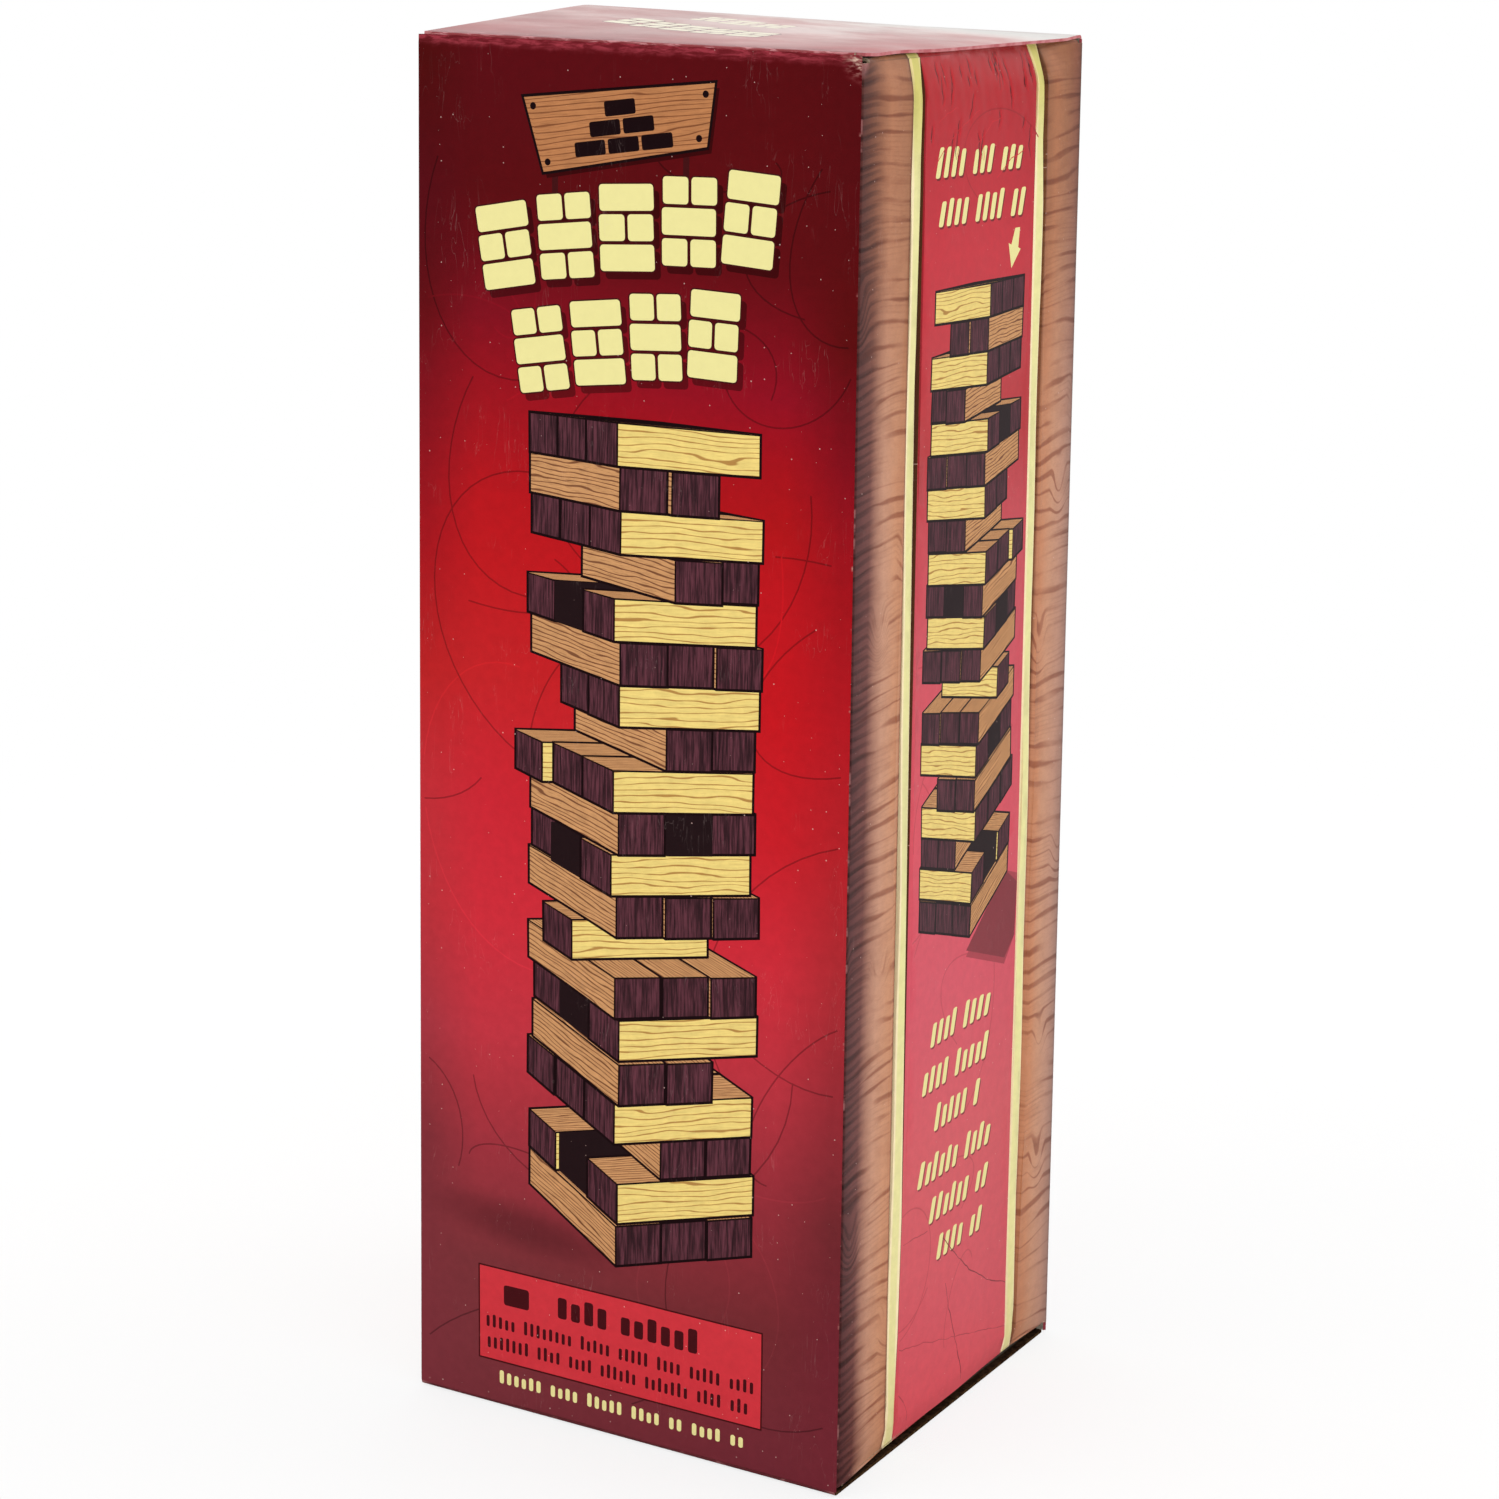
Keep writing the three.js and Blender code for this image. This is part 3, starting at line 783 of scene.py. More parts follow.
def stripe_ink():
    m, n = new_mat("ink_stripe")
    pc = n.attr("pc")
    u, v, w = n.xyz(pc)
    mids = [(a + b) / 2 for a, b in STRIPES]
    d = n.m("MINIMUM", n.m("ABSOLUTE", n.m("SUBTRACT", u, mids[0])), n.m("ABSOLUTE", n.m("SUBTRACT", u, mids[1])))
    top = n.step(v, 205, 224)
    inner = n.mix(top, lin(233, 226, 158), lin(212, 202, 112))
    rim = n.mix(top, lin(250, 232, 186), lin(232, 212, 146))
    low = n.m("MULTIPLY", n.step(v, 30, 0), 0.12)
    inner, rim = n.mix(low, inner, lin(196, 172, 128)), n.mix(low, rim, lin(214, 180, 142))
    c = n.mix(n.step(d, 0.95, 1.35), inner, rim)
    coated(n, c, pc, spec=0.25, specks=0.6)


stripe_ink()


def wood_band(name="side_wood"):
    m, n = new_mat(name)
    pc = n.attr("pc")
    u, v, w = n.xyz(pc)
    uu = n.m("DIVIDE", u, W)
    mid = n.ramp(uu, [(x / W, lin(*c)) for x, c in (
        (0, (84, 36, 36)), (1.5, (98, 50, 50)), (5.0, (120, 68, 62)), (7.2, (168, 116, 96)), (10, (200, 146, 118)), (14, (206, 146, 110)),
        (17, (196, 134, 98)), (66, (190, 124, 88)), (69, (202, 136, 98)), (72, (202, 146, 114)),
        (76, (190, 140, 117)), (78.6, (166, 124, 108)), (79.7, (128, 100, 96)))])
    top = n.ramp(uu, [(x / W, lin(*c)) for x, c in (
        (0, (88, 40, 36)), (2.5, (112, 62, 46)), (6, (146, 90, 62)), (10, (182, 120, 84)), (15, (170, 112, 78)), (17, (158, 104, 70)),
        (66, (150, 94, 60)), (70, (174, 110, 72)), (74, (160, 102, 68)), (78, (138, 82, 60)), (79.7, (96, 56, 44)))])
    c = n.mix(n.step(v, 150, 222), mid, top)
    c = n.mix(n.m("MULTIPLY", n.step(v, 34, 2), 0.16), c, n.mix(1.0, c, (0.55, 0.48, 0.46, 1), "MULTIPLY"))
    # growth lines run across the band, dip towards the front fold and swirl round a few knots
    kn = n.new("ShaderNodeTexVoronoi", voronoi_dimensions="2D", feature="F1")
    n.put(kn.inputs["Vector"], n.comb(n.m("MULTIPLY", u, 0.05), n.m("MULTIPLY", v, 0.028), 0))
    kn.inputs["Scale"].default_value = 1.0
    swirl = n.m("MULTIPLY", n.step(kn.outputs["Distance"], 0.20, 0.0), 1.3)
    bend = n.m("MULTIPLY", n.step(u, 7, 0), 0.22)
    big = n.noise(n.comb(n.m("MULTIPLY", u, 0.50), v, 3.1), 0.035, 2, 0.5)
    small = n.noise(n.comb(n.m("MULTIPLY", u, 0.45), v, 7.7), 0.10, 2, 0.5)
    f = n.m("ADD", n.m("MULTIPLY", v, 0.34), n.m("MULTIPLY", big, 3.6))
    f = n.m("ADD", f, n.m("ADD", swirl, n.m("ADD", bend, n.m("MULTIPLY", small, 0.8))))
    d = n.m("PINGPONG", f, 0.5)
    wid = n.m("MULTIPLY", n.step(n.noise(n.comb(n.m("MULTIPLY", u, 0.3), v, 1.3), 0.22, 2), 0.36, 0.66), 0.16)
    line = n.step(n.m("SUBTRACT", d, wid), 0.09, -0.05)
    line = n.m("MULTIPLY", line, n.step(n.noise(n.comb(n.m("MULTIPLY", u, 0.5), v, 9.0), 0.13, 2), 0.34, 0.58))
    f2 = n.m("PINGPONG", n.m("MULTIPLY", f, 3.3), 0.5)
    fine = n.m("MULTIPLY", n.step(f2, 0.26, 0.05), n.step(n.noise(n.comb(n.m("MULTIPLY", u, 0.5), v, 4.0), 0.12, 2), 0.44, 0.62))
    soft = n.noise(n.comb(n.m("MULTIPLY", u, 0.35), v, 2.0), 0.38, 3, 0.6)
    c = n.mix(n.m("MULTIPLY", n.step(soft, 0.46, 0.66), 0.24), c, n.mix(1.0, c, (0.66, 0.52, 0.46, 1), "MULTIPLY"))
    hair = n.noise(n.vm("MULTIPLY", pc, (0.9, 4.5, 1)), 1.0, 3, 0.7)
    c = n.mix(n.m("MULTIPLY", n.step(hair, 0.48, 0.70), 0.20), c, n.mix(1.0, c, (0.62, 0.50, 0.44, 1), "MULTIPLY"))
    c = n.mix(n.m("MULTIPLY", fine, 0.20), c, n.mix(1.0, c, (0.50, 0.36, 0.30, 1), "MULTIPLY"))
    dz = n.m("MULTIPLY", n.step(u, 9.0, 3.0), n.step(n.m("PINGPONG", n.m("MULTIPLY", f, 1.7), 0.5), 0.30, 0.12))
    c = n.mix(n.m("MULTIPLY", dz, 0.60), c, n.mix(1.0, c, (0.40, 0.30, 0.32, 1), "MULTIPLY"))
    c = n.mix(n.m("MULTIPLY", line, 0.74), c, n.mix(1.0, c, (0.48, 0.27, 0.20, 1), "MULTIPLY"))
    # drop shadow of the strip's borders, on the wood
    shade = n.m("MAXIMUM", n.m("MULTIPLY", n.step(u, 16.1, 17.2), n.m("LESS_THAN", u, 40.0)),
                n.m("MULTIPLY", n.step(u, 67.1, 66.0), n.m("GREATER_THAN", u, 40.0)))
    c = n.mix(n.m("MULTIPLY", shade, 0.72), c, n.mix(1.0, c, (0.22, 0.17, 0.10, 1), "MULTIPLY"))
    fold = n.m("MINIMUM", u, n.m("SUBTRACT", W, u))
    chip = n.m("MULTIPLY", n.step(fold, 0.6, 0.1), n.step(n.noise(n.comb(0, v, 5), 0.3, 3), 0.58, 0.66))
    corner = n.vm("DISTANCE", n.comb(u, v, 0), (-0.2, SIDE_V1 + 0.6, 0))
    worn = n.m("MAXIMUM", n.m("MULTIPLY", chip, 0.4), n.m("MULTIPLY", n.step(corner, 3.4, 1.0), n.noise(pc, 1.1, 2)), clamp=True)
    coated(n, c, pc, rough=0.38, spec=0.32, worn=worn)


wood_band()


def lid_ink(name, gain):
    m, n = new_mat(name)
    pc = n.attr("pc")
    u, v, w = n.xyz(pc)
    c = n.mix(n.step(u, 0, 60), lin(182, 46, 54), lin(166, 34, 44))
    c = n.mix(n.m("MULTIPLY", n.step(v, 72, 79.5), 0.6), c, lin(118, 22, 32))
    # painted reflection: white glare of the varnish, in patches, thin at the front fold and heavy towards the back
    painted_glare = n.ramp(n.m("DIVIDE", v, W), [(x / W, (y,) * 3) for x, y in ((4, 0.80), (20, 0.74), (50, 0.50), (62, 0.38), (71, 0.26), (75.5, 0.20), (78, 0.04))])
    across = n.ramp(n.m("DIVIDE", u, W), [(x / W, (y,) * 3) for x, y in ((2, 0.70), (12, 0.80), (26, 1.15), (44, 1.0), (60, 0.86), (78, 0.78))])
    patch = n.noise(n.comb(n.m("MULTIPLY", u, 0.55), v, 6.0), 0.075, 4, 0.62)
    patch = n.m("ADD", 0.62, n.m("MULTIPLY", n.step(patch, 0.36, 0.64), 0.55))
    back = n.step(v, 52, 16)
    across = n.m("ADD", across, n.m("MULTIPLY", n.m("SUBTRACT", 1.0, across), n.m("MULTIPLY", back, 0.7)))
    painted_glare = n.m("MULTIPLY", n.m("MULTIPLY", painted_glare, across), patch, clamp=True)
    c = n.mix(painted_glare, c, lin(246, 236, 230))
    # painted reflection: more white glare near the back crease
    c = n.mix(n.m("MULTIPLY", n.step(v, 25, 12), 0.62), c, lin(226, 232, 228))
    c = n.mix(1.0, c, n.ramp(n.noise(pc, 0.05, 2), ((0.3, (0.9, 0.9, 0.9)), (0.7, (1.1, 1.1, 1.1)))), "MULTIPLY")
    c = n.mix(1.0, c, (gain, gain, gain, 1), "MULTIPLY")
    # soft scuffs from shelf wear
    sc = n.noise(n.comb(u, n.m("MULTIPLY", v, 0.7), 2), 0.11, 4, 0.65, 0.8)
    worn = n.m("MULTIPLY", n.step(sc, 0.56, 0.74), 0.25)
    rubs = n.noise(n.comb(n.m("MULTIPLY", u, 0.28), n.m("MULTIPLY", v, 1.5), 4), 1.0, 4, 0.65, 0.6)
    rubs = n.m("MULTIPLY", n.step(rubs, 0.50, 0.62), n.m("MULTIPLY", n.m("MULTIPLY", n.step(v, 74.5, 76.8), n.step(v, 80.8, 79.2)), 0.62))
    coated(n, c, pc, rough=0.34, worn=n.m("MAXIMUM", worn, rubs), rub_to=lin(226, 160, 164))


lid_ink("lid_red", 1.0)
lid_ink("lid_dark", 0.55)
lid_ink("lid_soft", 0.82)


def base_ink():
    m, n = new_mat("base_red")
    pc = n.attr("pc")
    u, v, w = n.xyz(pc)
    c = n.mix(n.noise(pc, 0.06, 2), lin(96, 26, 34), lin(112, 34, 42))
    sc = n.noise(n.comb(u, v, 5), 0.16, 5, 0.7, 1.0)
    rim = n.m("MINIMUM", n.m("SUBTRACT", u, 0.4), n.m("SUBTRACT", W - 0.4, u))
    worn = n.m("MAXIMUM", n.m("MULTIPLY", n.step(sc, 0.55, 0.72), 0.35), n.m("MULTIPLY", n.step(rim, 2.2, 0.2), n.m("MULTIPLY", sc, 0.7)))
    coated(n, c, pc, rough=0.46, worn=worn)


base_ink()


def raw_board(name, c1, c2, rough=0.85, shade_edges=False):
    """Unprinted grey board: matted fibre with darker flecks."""
    m, n = new_mat(name)
    pc = n.attr("pc")
    u, v, w = n.xyz(pc)
    a = n.noise(n.comb(u, v, w), 1.3, 5, 0.65)
    b = n.noise(n.comb(n.m("MULTIPLY", u, 0.5), n.m("MULTIPLY", v, 2.0), w), 0.9, 3, 0.6)
    c = n.mix(n.step(a, 0.3, 0.7), lin(*c1), lin(*c2))
    c = n.mix(n.m("MULTIPLY", n.step(b, 0.60, 0.70), 0.30), c, lin(120, 108, 92))
    c = n.mix(n.m("MULTIPLY", n.step(b, 0.38, 0.28), 0.35), c, lin(226, 219, 206))
    if shade_edges:                                    # painted shade along the side edges, for the dark gap under the walls
        side = n.m("MINIMUM", u, n.m("SUBTRACT", W, u))
        c = n.mix(n.step(side, 2.6, 1.5), c, n.mix(n.step(a, 0.35, 0.65), lin(30, 17, 11), lin(64, 45, 30)))
    close(n, c, rough, 0.02 if shade_edges else 0.3, bump(n, a, 0.35, 0.00006))


raw_board("board_inside", (178, 168, 152), (196, 187, 171))
raw_board("board_edge", (150, 128, 104), (188, 170, 146))
raw_board("board_white", (222, 218, 208), (234, 231, 224), 0.6)
# inside of the base panel, with painted shade along its side edges
raw_board("board_shaded_edges", (178, 168, 152), (196, 187, 171), 0.9, True)


def edge_dark():
    """Cut edge of the bottom panel, painted dark brown as painted shade of the gap under the walls."""
    m, n = new_mat("board_edge_shaded")
    pc = n.attr("pc")
    a = n.noise(pc, 0.8, 4, 0.6)
    d = n.new("ShaderNodeBsdfDiffuse")
    n.put(d.inputs[0], n.mix(n.step(a, 0.35, 0.65), lin(34, 18, 10), lin(74, 54, 32)))
    o = n.new("ShaderNodeOutputMaterial")
    n.t.links.new(d.outputs[0], o.inputs[0])


edge_dark()


def edge_red(name, c1, c2):
    """Cut edge with ink drawn over it by the die and by rubbing."""
    m, n = new_mat(name)
    pc = n.attr("pc")
    a = n.noise(pc, 0.25, 3, 0.6)
    c = n.mix(n.step(a, 0.40, 0.62), lin(*c1), lin(*c2))
    close(n, c, 0.6, 0.3, bump(n, a, 0.3, 0.00006))


edge_red("board_edge_red", (150, 44, 56), (190, 96, 104))
edge_red("board_edge_lid", (184, 92, 98), (204, 132, 134))


def block_wood(name, along, tint, seed):
    """Sanded, unfinished block: long grain, ring arcs on the ends, soft edges."""
    m, n = new_mat(name)
    co = n.new("ShaderNodeTexCoord").outputs["Object"]
    mm = n.vm("ADD", n.vm("MULTIPLY", co, (1000, 1000, 1000)), (seed * 13.1, seed * 7.7, seed * 3.3))
    x, y, z = n.xyz(mm)
    a, b = (x, y) if along == "x" else (y, x)
    # each block keeps a tone of its own from its place in the stack
    bx, by, bz = n.xyz(n.vm("MULTIPLY", co, (1000, 1000, 1000)))
    cell = n.comb(n.m("FLOOR", n.m("DIVIDE", n.m("ADD", by if along == "x" else bx, 37.5), 25.0)), n.m("FLOOR", n.m("DIVIDE", n.m("SUBTRACT", bz, 1.6), 14.0)), seed)
    wn = n.new("ShaderNodeTexWhiteNoise", noise_dimensions="3D")
    n.put(wn.inputs["Vector"], cell)
    r1, r2, r3 = n.xyz(wn.outputs["Color"])
    shift = n.m("MULTIPLY", r1, 40.0)
    p = n.comb(n.m("MULTIPLY", a, 0.035), n.m("ADD", b, shift), n.m("ADD", z, n.m("MULTIPLY", r2, 30)))
    warp = n.noise(p, 0.10, 3, 0.5)
    rings = n.m("PINGPONG", n.m("ADD", n.m("MULTIPLY", n.vm("LENGTH", n.vm("MULTIPLY", p, (0, 0.22, 0.30))), 1.0), n.m("MULTIPLY", warp, 5.0)), 0.5)
    late = n.step(rings, 0.20, 0.46)
    fib = n.noise(n.vm("MULTIPLY", p, (6, 3.2, 3.2)), 1.0, 4, 0.65)
    pore = n.step(n.noise(n.vm("MULTIPLY", p, (10, 5, 5)), 1.0, 2), 0.62, 0.72)
    base = n.mix(r3, lin(*[t * 0.955 for t in tint]), lin(*[min(t * 1.03, 255) for t in tint]))
    c = n.mix(n.m("MULTIPLY", late, 0.42), base, lin(tint[0] * 0.80, tint[1] * 0.68, tint[2] * 0.52))
    c = n.mix(n.m("MULTIPLY", n.step(fib, 0.42, 0.68), 0.30), c, lin(tint[0] * 0.86, tint[1] * 0.76, tint[2] * 0.62))
    c = n.mix(n.m("MULTIPLY", pore, 0.35), c, lin(128, 88, 50))
    nx, ny, nz = n.xyz(n.new("ShaderNodeTexCoord").outputs["Normal"])
    end = n.step(n.m("ABSOLUTE", nx if along == "x" else ny), 0.7, 0.95)
    c = n.mix(n.m("MULTIPLY", end, 0.55), c, n.mix(1.0, c, (0.62, 0.52, 0.42, 1), "MULTIPLY"))
    h = n.m("ADD", n.m("MULTIPLY", fib, 0.6), n.m("MULTIPLY", late, 0.5))
    close(n, c, n.m("ADD", 0.55, n.m("MULTIPLY", fib, 0.2)), 0.35, bump(n, h, 0.35, 0.00012))


TINTS = ((224, 188, 132), (216, 177, 120), (229, 196, 146))
for i, t in enumerate(TINTS):
    for ax in "xy":
        block_wood(f"block_wood_{ax}{i}", ax, t, i + 1)


# ------------------------------------------------------------------ sheets of board
def densify(loop, step):
    out = []
    n = len(loop)
    for i in range(n):
        a, b = loop[i], loop[(i + 1) % n]
        seg = [a, b]
        k = 0
        while k < len(seg) - 1:
            (x0, y0), (x1, y1) = seg[k], seg[k + 1]
            mx, my = (x0 + x1) / 2, (y0 + y1) / 2
            if math.hypot(x1 - x0, y1 - y0) > step(mx, my):
                seg.insert(k + 1, (mx, my))
            else:
                k += 1
        out += seg[:-1]
    return out


def inside(poly, pts, margin):
    p = np.array(poly, float)
    q = np.array(pts, float).reshape(-1, 2)
    a, b = p, np.roll(p, -1, 0)
    ok = np.zeros(len(q), bool)
    dmin = np.full(len(q), 1e9)
    for (x0, y0), (x1, y1) in zip(a, b):
        cond = (y0 > q[:, 1]) != (y1 > q[:, 1])
        if y1 != y0:
            xi = (x1 - x0) * (q[:, 1] - y0) / (y1 - y0) + x0
            ok ^= cond & (q[:, 0] < xi)
        d = np.array([x1 - x0, y1 - y0])
        l2 = max(d @ d, 1e-12)
        t = np.clip(((q - (x0, y0)) @ d) / l2, 0, 1)
        dmin = np.minimum(dmin, np.hypot(q[:, 0] - x0 - t * d[0], q[:, 1] - y0 - t * d[1]))
    return [tuple(x) for x in q[ok & (dmin > margin)]]


def sheet(name, outline, surf, art, pts, base, inner="board_inside", rim="board_edge", thick=T,
          weight=None, pc=None, rows=()):
    """A closed sheet of board. The outer skin carries the print as real faces, each in its ink."""
    items = art.items if art else []
    verts, faces = [], []
    for loop in [ccw(outline)] + [i[0] for i in items]:
        faces.append(list(range(len(verts), len(verts) + len(loop))))
        verts += [Vector(p) for p in loop]
    verts += [Vector(p) for p in inside(outline, pts, 0.04)] if len(pts) else []
    edges = []
    for a, b, gap in rows:                  # lines of points that no face may cross
        k = max(1, int(math.hypot(b[0] - a[0], b[1] - a[1]) / gap))
        edges += [(len(verts) + i, len(verts) + i + 1) for i in range(k)]
        verts += [Vector(a).lerp(Vector(b), i / k) for i in range(k + 1)]
    vo, _, fo, _, _, of = delaunay_2d_cdt(verts, edges, faces, 1, 1e-5, True)
    uv = np.array([tuple(v) for v in vo], float)
    tris, ink, gr = [], [], []
    for f, src in zip(fo, of):
        if 0 not in src:
            continue
        a = list(f)
        for k in range(1, len(a) - 1):
            t = (a[0], a[k], a[k + 1])
            x = uv[list(t)]
            ar = (x[1, 0] - x[0, 0]) * (x[2, 1] - x[0, 1]) - (x[1, 1] - x[0, 1]) * (x[2, 0] - x[0, 0])
            if ar < 0:
                t = (t[0], t[2], t[1])
            tris.append(t)
            ink.append(max(src))
    used = sorted({i for t in tris for i in t})
    remap = {o: i for i, o in enumerate(used)}
    uv = uv[used]
    tris = [tuple(remap[i] for i in t) for t in tris]
    n = len(uv)
    u, v = uv[:, 0], uv[:, 1]
    e = 0.01
    p = surf(u, v)
    du, dv = surf(u + e, v) - surf(u - e, v), surf(u, v + e) - surf(u, v - e)
    nor = np.cross(du, dv)
    nor /= np.linalg.norm(nor, axis=1)[:, None]
    q = p - nor * thick
    co = np.vstack([p, q]) / 1000.0
    seen = set()
    for a, b, c in tris:
        seen.update(((a, b), (b, c), (c, a)))
    border = [(a, b) for a, b in seen if (b, a) not in seen]
    border.sort()
    polys = list(tris) + [(c + n, b + n, a + n) for a, b, c in tris] + [(b, a, a + n, b + n) for a, b in border]
    me = bpy.data.meshes.new(name)
    me.from_pydata(co.tolist(), [], polys)
    names = [base] + sorted({items[i - 1][1] for i in ink if i > 0} - {base}) + [inner, rim]
    names = list(dict.fromkeys(names))
    for k in names:
        me.materials.append(MATS[k])
    idx = {k: i for i, k in enumerate(names)}
    mi = [idx[base] if i == 0 else idx[items[i - 1][1]] for i in ink] + [idx[inner]] * len(tris) + [idx[rim]] * len(border)
    me.polygons.foreach_set("material_index", mi)
    me.polygons.foreach_set("use_smooth", [True] * len(polys))
    pcu = np.stack(pc(u, v) if pc else (u, v), 1)
    pco = np.zeros((2 * n, 3), np.float32)
    pco[:n, :2] = pcu
    pco[n:, :2] = pcu
    pco[n:, 2] = thick
    me.attributes.new("pc", "FLOAT_VECTOR", "POINT").data.foreach_set("vector", pco.ravel())
    loops = np.zeros((len(me.loops), 3), np.float32)
    k = 0
    for t, i in zip(tris, ink):
        if i > 0 and items[i - 1][2] is not None:
            m3 = items[i - 1][2]
            h = m3 @ np.vstack([uv[list(t)].T, np.ones(3)])
            loops[k:k + 3, 0] = h[0] / h[2]
            loops[k:k + 3, 1] = h[1] / h[2]
            loops[k:k + 3, 2] = items[i - 1][3]
        k += 3
    me.attributes.new("gr", "FLOAT_VECTOR", "CORNER").data.foreach_set("vector", loops.ravel())
    me.update()
    me.validate()
    me.set_sharp_from_angle(angle=math.radians(50))
    ob = bpy.data.objects.new(name, me)
    scene.collection.objects.link(ob)
    ob_w = None
    if weight is not None:
        w = weight(u, v)
        ob_w = np.concatenate([w, w]).astype(np.float32)
    return ob, ob_w


def fold(ob, w, a, b, start, end, nodes):
    """Bakes the flap's placing into its mesh and hides the imported parts it replaces. The weight w is not used."""
    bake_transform(ob)
    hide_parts(*nodes)


def grid(us, vs):
    return [(float(a), float(b)) for a in us for b in vs]


# ------------------------------------------------------------------ the four walls
WAVE = {k: make_waves(s, 5, 34, 90) for s, k in enumerate(("front", "right", "back", "left"), 3)}
RIPPLE = make_waves(21, 9, 5, 11)
FRAMES = {"front": ((-HX, -HX), (1, 0), (0, -1)), "right": ((HX, -HX), (0, 1), (1, 0)),
          "back": ((HX, HX), (-1, 0), (0, 1)), "left": ((-HX, HX), (0, -1), (-1, 0))}
def roll_top(u, v):
    t = np.clip((v - (SIDE_V1 - 6.5)) / 6.5, 0, 1.15)
    return (1.15 + 0.95 * sm(u, 25, 60)) * sm(u, 0.7, 9) * sm(W - u, 0.7, 12) * t ** 1.6


def roll_low(u, v):
    t = np.clip((SIDE_V0 + 3.6 - v) / 3.6, 0, 1.3)
    return 0.75 * sm(u, 0.7, 9) * sm(W - u, 0.7, 8) * t * t / (t + 0.3) * 1.3


def lift_low(u, v):
    return 0.85 * np.clip(u / W, 0, 1) ** 1.4 * sm(14 - v, 0, 13) * sm(W + 0.5 - u, 0, 4)


def lift_top(x, y, rear):
    """The full carton stands a little proud on its left and sags at its right rear corner."""
    s, t = np.clip((x + HX) / W, 0, 1), np.clip((y + HX) / W, 0, 1)
    return (1 - s) * (1.15 + 0.15 * t) + s * t * rear


def wall_surf(side):
    o, ud, nd = FRAMES[side]

    def surf(u, v):
        u, v = np.asarray(u, float), np.asarray(v, float)
        a = np.clip((R - u) / R, 0, 1.2) * math.pi / 4
        b = np.clip((u - (W - R)) / R, 0, 1.2) * math.pi / 4
        pu = np.where(u < R, R - R * np.sin(a), np.where(u > W - R, W - R + R * np.sin(b), u))
        out = -(R - R * np.cos(a)) - (R - R * np.cos(b))
        mask = sm(u, 0.8, 10) * sm(W - u, 0.8, 10)
        out = out + mask * (0.16 * waves(WAVE[side], u, v) + 0.012 * waves(RIPPLE, u, v))
        z = v.copy()
        if side in ("right", "left"):
            out = out - roll_top(u, v) - roll_low(u, v)
            z = z + lift_low(u, v)
            d = SIDE_V1 - v
            for uc, tp, ln, sl, dp, ph in CREASES:
                c = uc + sl * d + 0.30 * np.sin(d * 0.9 + ph) + 0.12 * np.sin(d * 2.7 + 2 * ph)
                win = sm(d, tp - 1.2, tp + 0.4) * sm(tp + ln - d, -1.2, 0.6)
                out = out - 0.8 * dp * np.exp(-((u - c) / 0.36) ** 2) * win + 0.25 * dp * np.exp(-((u - c - 0.9) / 0.55) ** 2) * win
            out = out + 0.028 * sm(v, SIDE_V1 - 20, SIDE_V1 - 6) * mask * (np.sin(u * 0.83 + 0.9 * np.sin(v * 0.31)) + np.sin(u * 1.7 + 1.4 * np.sin(v * 0.43)))
        if side == "front":
            t = np.clip((v - (H - 3.0)) / 3.0, 0, 1.2)
            edge = 0.5 + 0.5 * waves(make_waves(31, 5, 3, 9), u, 0 * u)
            out = out - 0.33 * t * t * sm(u, -0.5, 2.5) * sm(W - u, -0.5, 2.5)
            z = z + (0.035 * waves(make_waves(32, 6, 2.5, 8), u, 0 * u) - 0.05 * edge) * t
        x = o[0] + ud[0] * pu + nd[0] * out
        y = o[1] + ud[1] * pu + nd[1] * out
        z = z + (lift_top(x, y, -0.4) * sm(v, SIDE_V1 - 18, SIDE_V1) if side in ("right", "left") else lift_top(x, y, -0.6) * sm(v, LID_V - 18, LID_V))
        return np.stack([x, y, z], 1)

    return surf


def wall(side, v0, v1, art, base, nodes, extra=()):
    outline = [(0, v0), (W, v0), (W, v1), (0, v1)]
    def step(u, v):
        if u < 0.95 or u > W - 0.95:
            return 0.17 if v < v0 + 0.01 or v > v1 - 0.01 else 3.0
        if v > v1 - 0.01:
            return 0.7 if side in ("front", "right", "left") else 1.6
        return 1.3 if v < v0 + 0.01 else 3.0
    loop = densify(outline, step)
    arcs = [0.14, 0.28, 0.42, 0.56, 0.7, 1.2]
    arcs = arcs + [W - a for a in arcs]
    vs = np.arange(v0 + 1.5, v1 - 0.5, 3.0)
    pts = grid(arcs, vs)
    body = grid(np.arange(3, W - 2, 2.4), vs)
    if side in ("right", "left"):
        body = [p for p in body if not (v1 - 24 < p[1]) and not (p[1] < v0 + 6)]
        pts += grid(np.arange(21, 63, 0.62), np.arange(v1 - 20, v1 - 0.3, 0.95))
        pts += grid(list(np.arange(2, 21, 1.5)) + list(np.arange(63.4, 79, 1.5)), np.arange(v1 - 23, v1 - 0.3, 0.95))
        pts += grid(np.arange(2, 79, 1.5), np.arange(v0 + 0.5, v0 + 6, 0.7))
    if side == "front":
        body = [p for p in body if p[1] < v1 - 4]
        pts += grid(np.arange(0.8, W - 0.5, 0.7), (v1 - 0.3, v1 - 0.7, v1 - 1.2, v1 - 1.8, v1 - 2.5, v1 - 3.3))
    lines = [((a, v0), (a, v1), 3.0) for a in arcs if a not in (1.2, W - 1.2)]
    ob, _ = sheet(side + "_wall", loop, wall_surf(side), art, pts + body, base, rows=lines,
                  rim="board_edge_red" if side in ("front", "back") else "board_edge")
    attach(ob, "carton")
    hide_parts(*nodes)
    return ob


front_wall = wall("front", R, H - 0.30, front_art(5), "red_front", ["front_panel"])
right_wall = wall("right", SIDE_V0, SIDE_V1, side_art(5), "side_wood", ["right_panel"])
back_wall = wall("back", 0.0, LID_V, front_art(5), "red_front", ["back_panel"])
left_wall = wall("left", SIDE_V0, SIDE_V1, side_art(5), "side_wood", ["left_panel"])


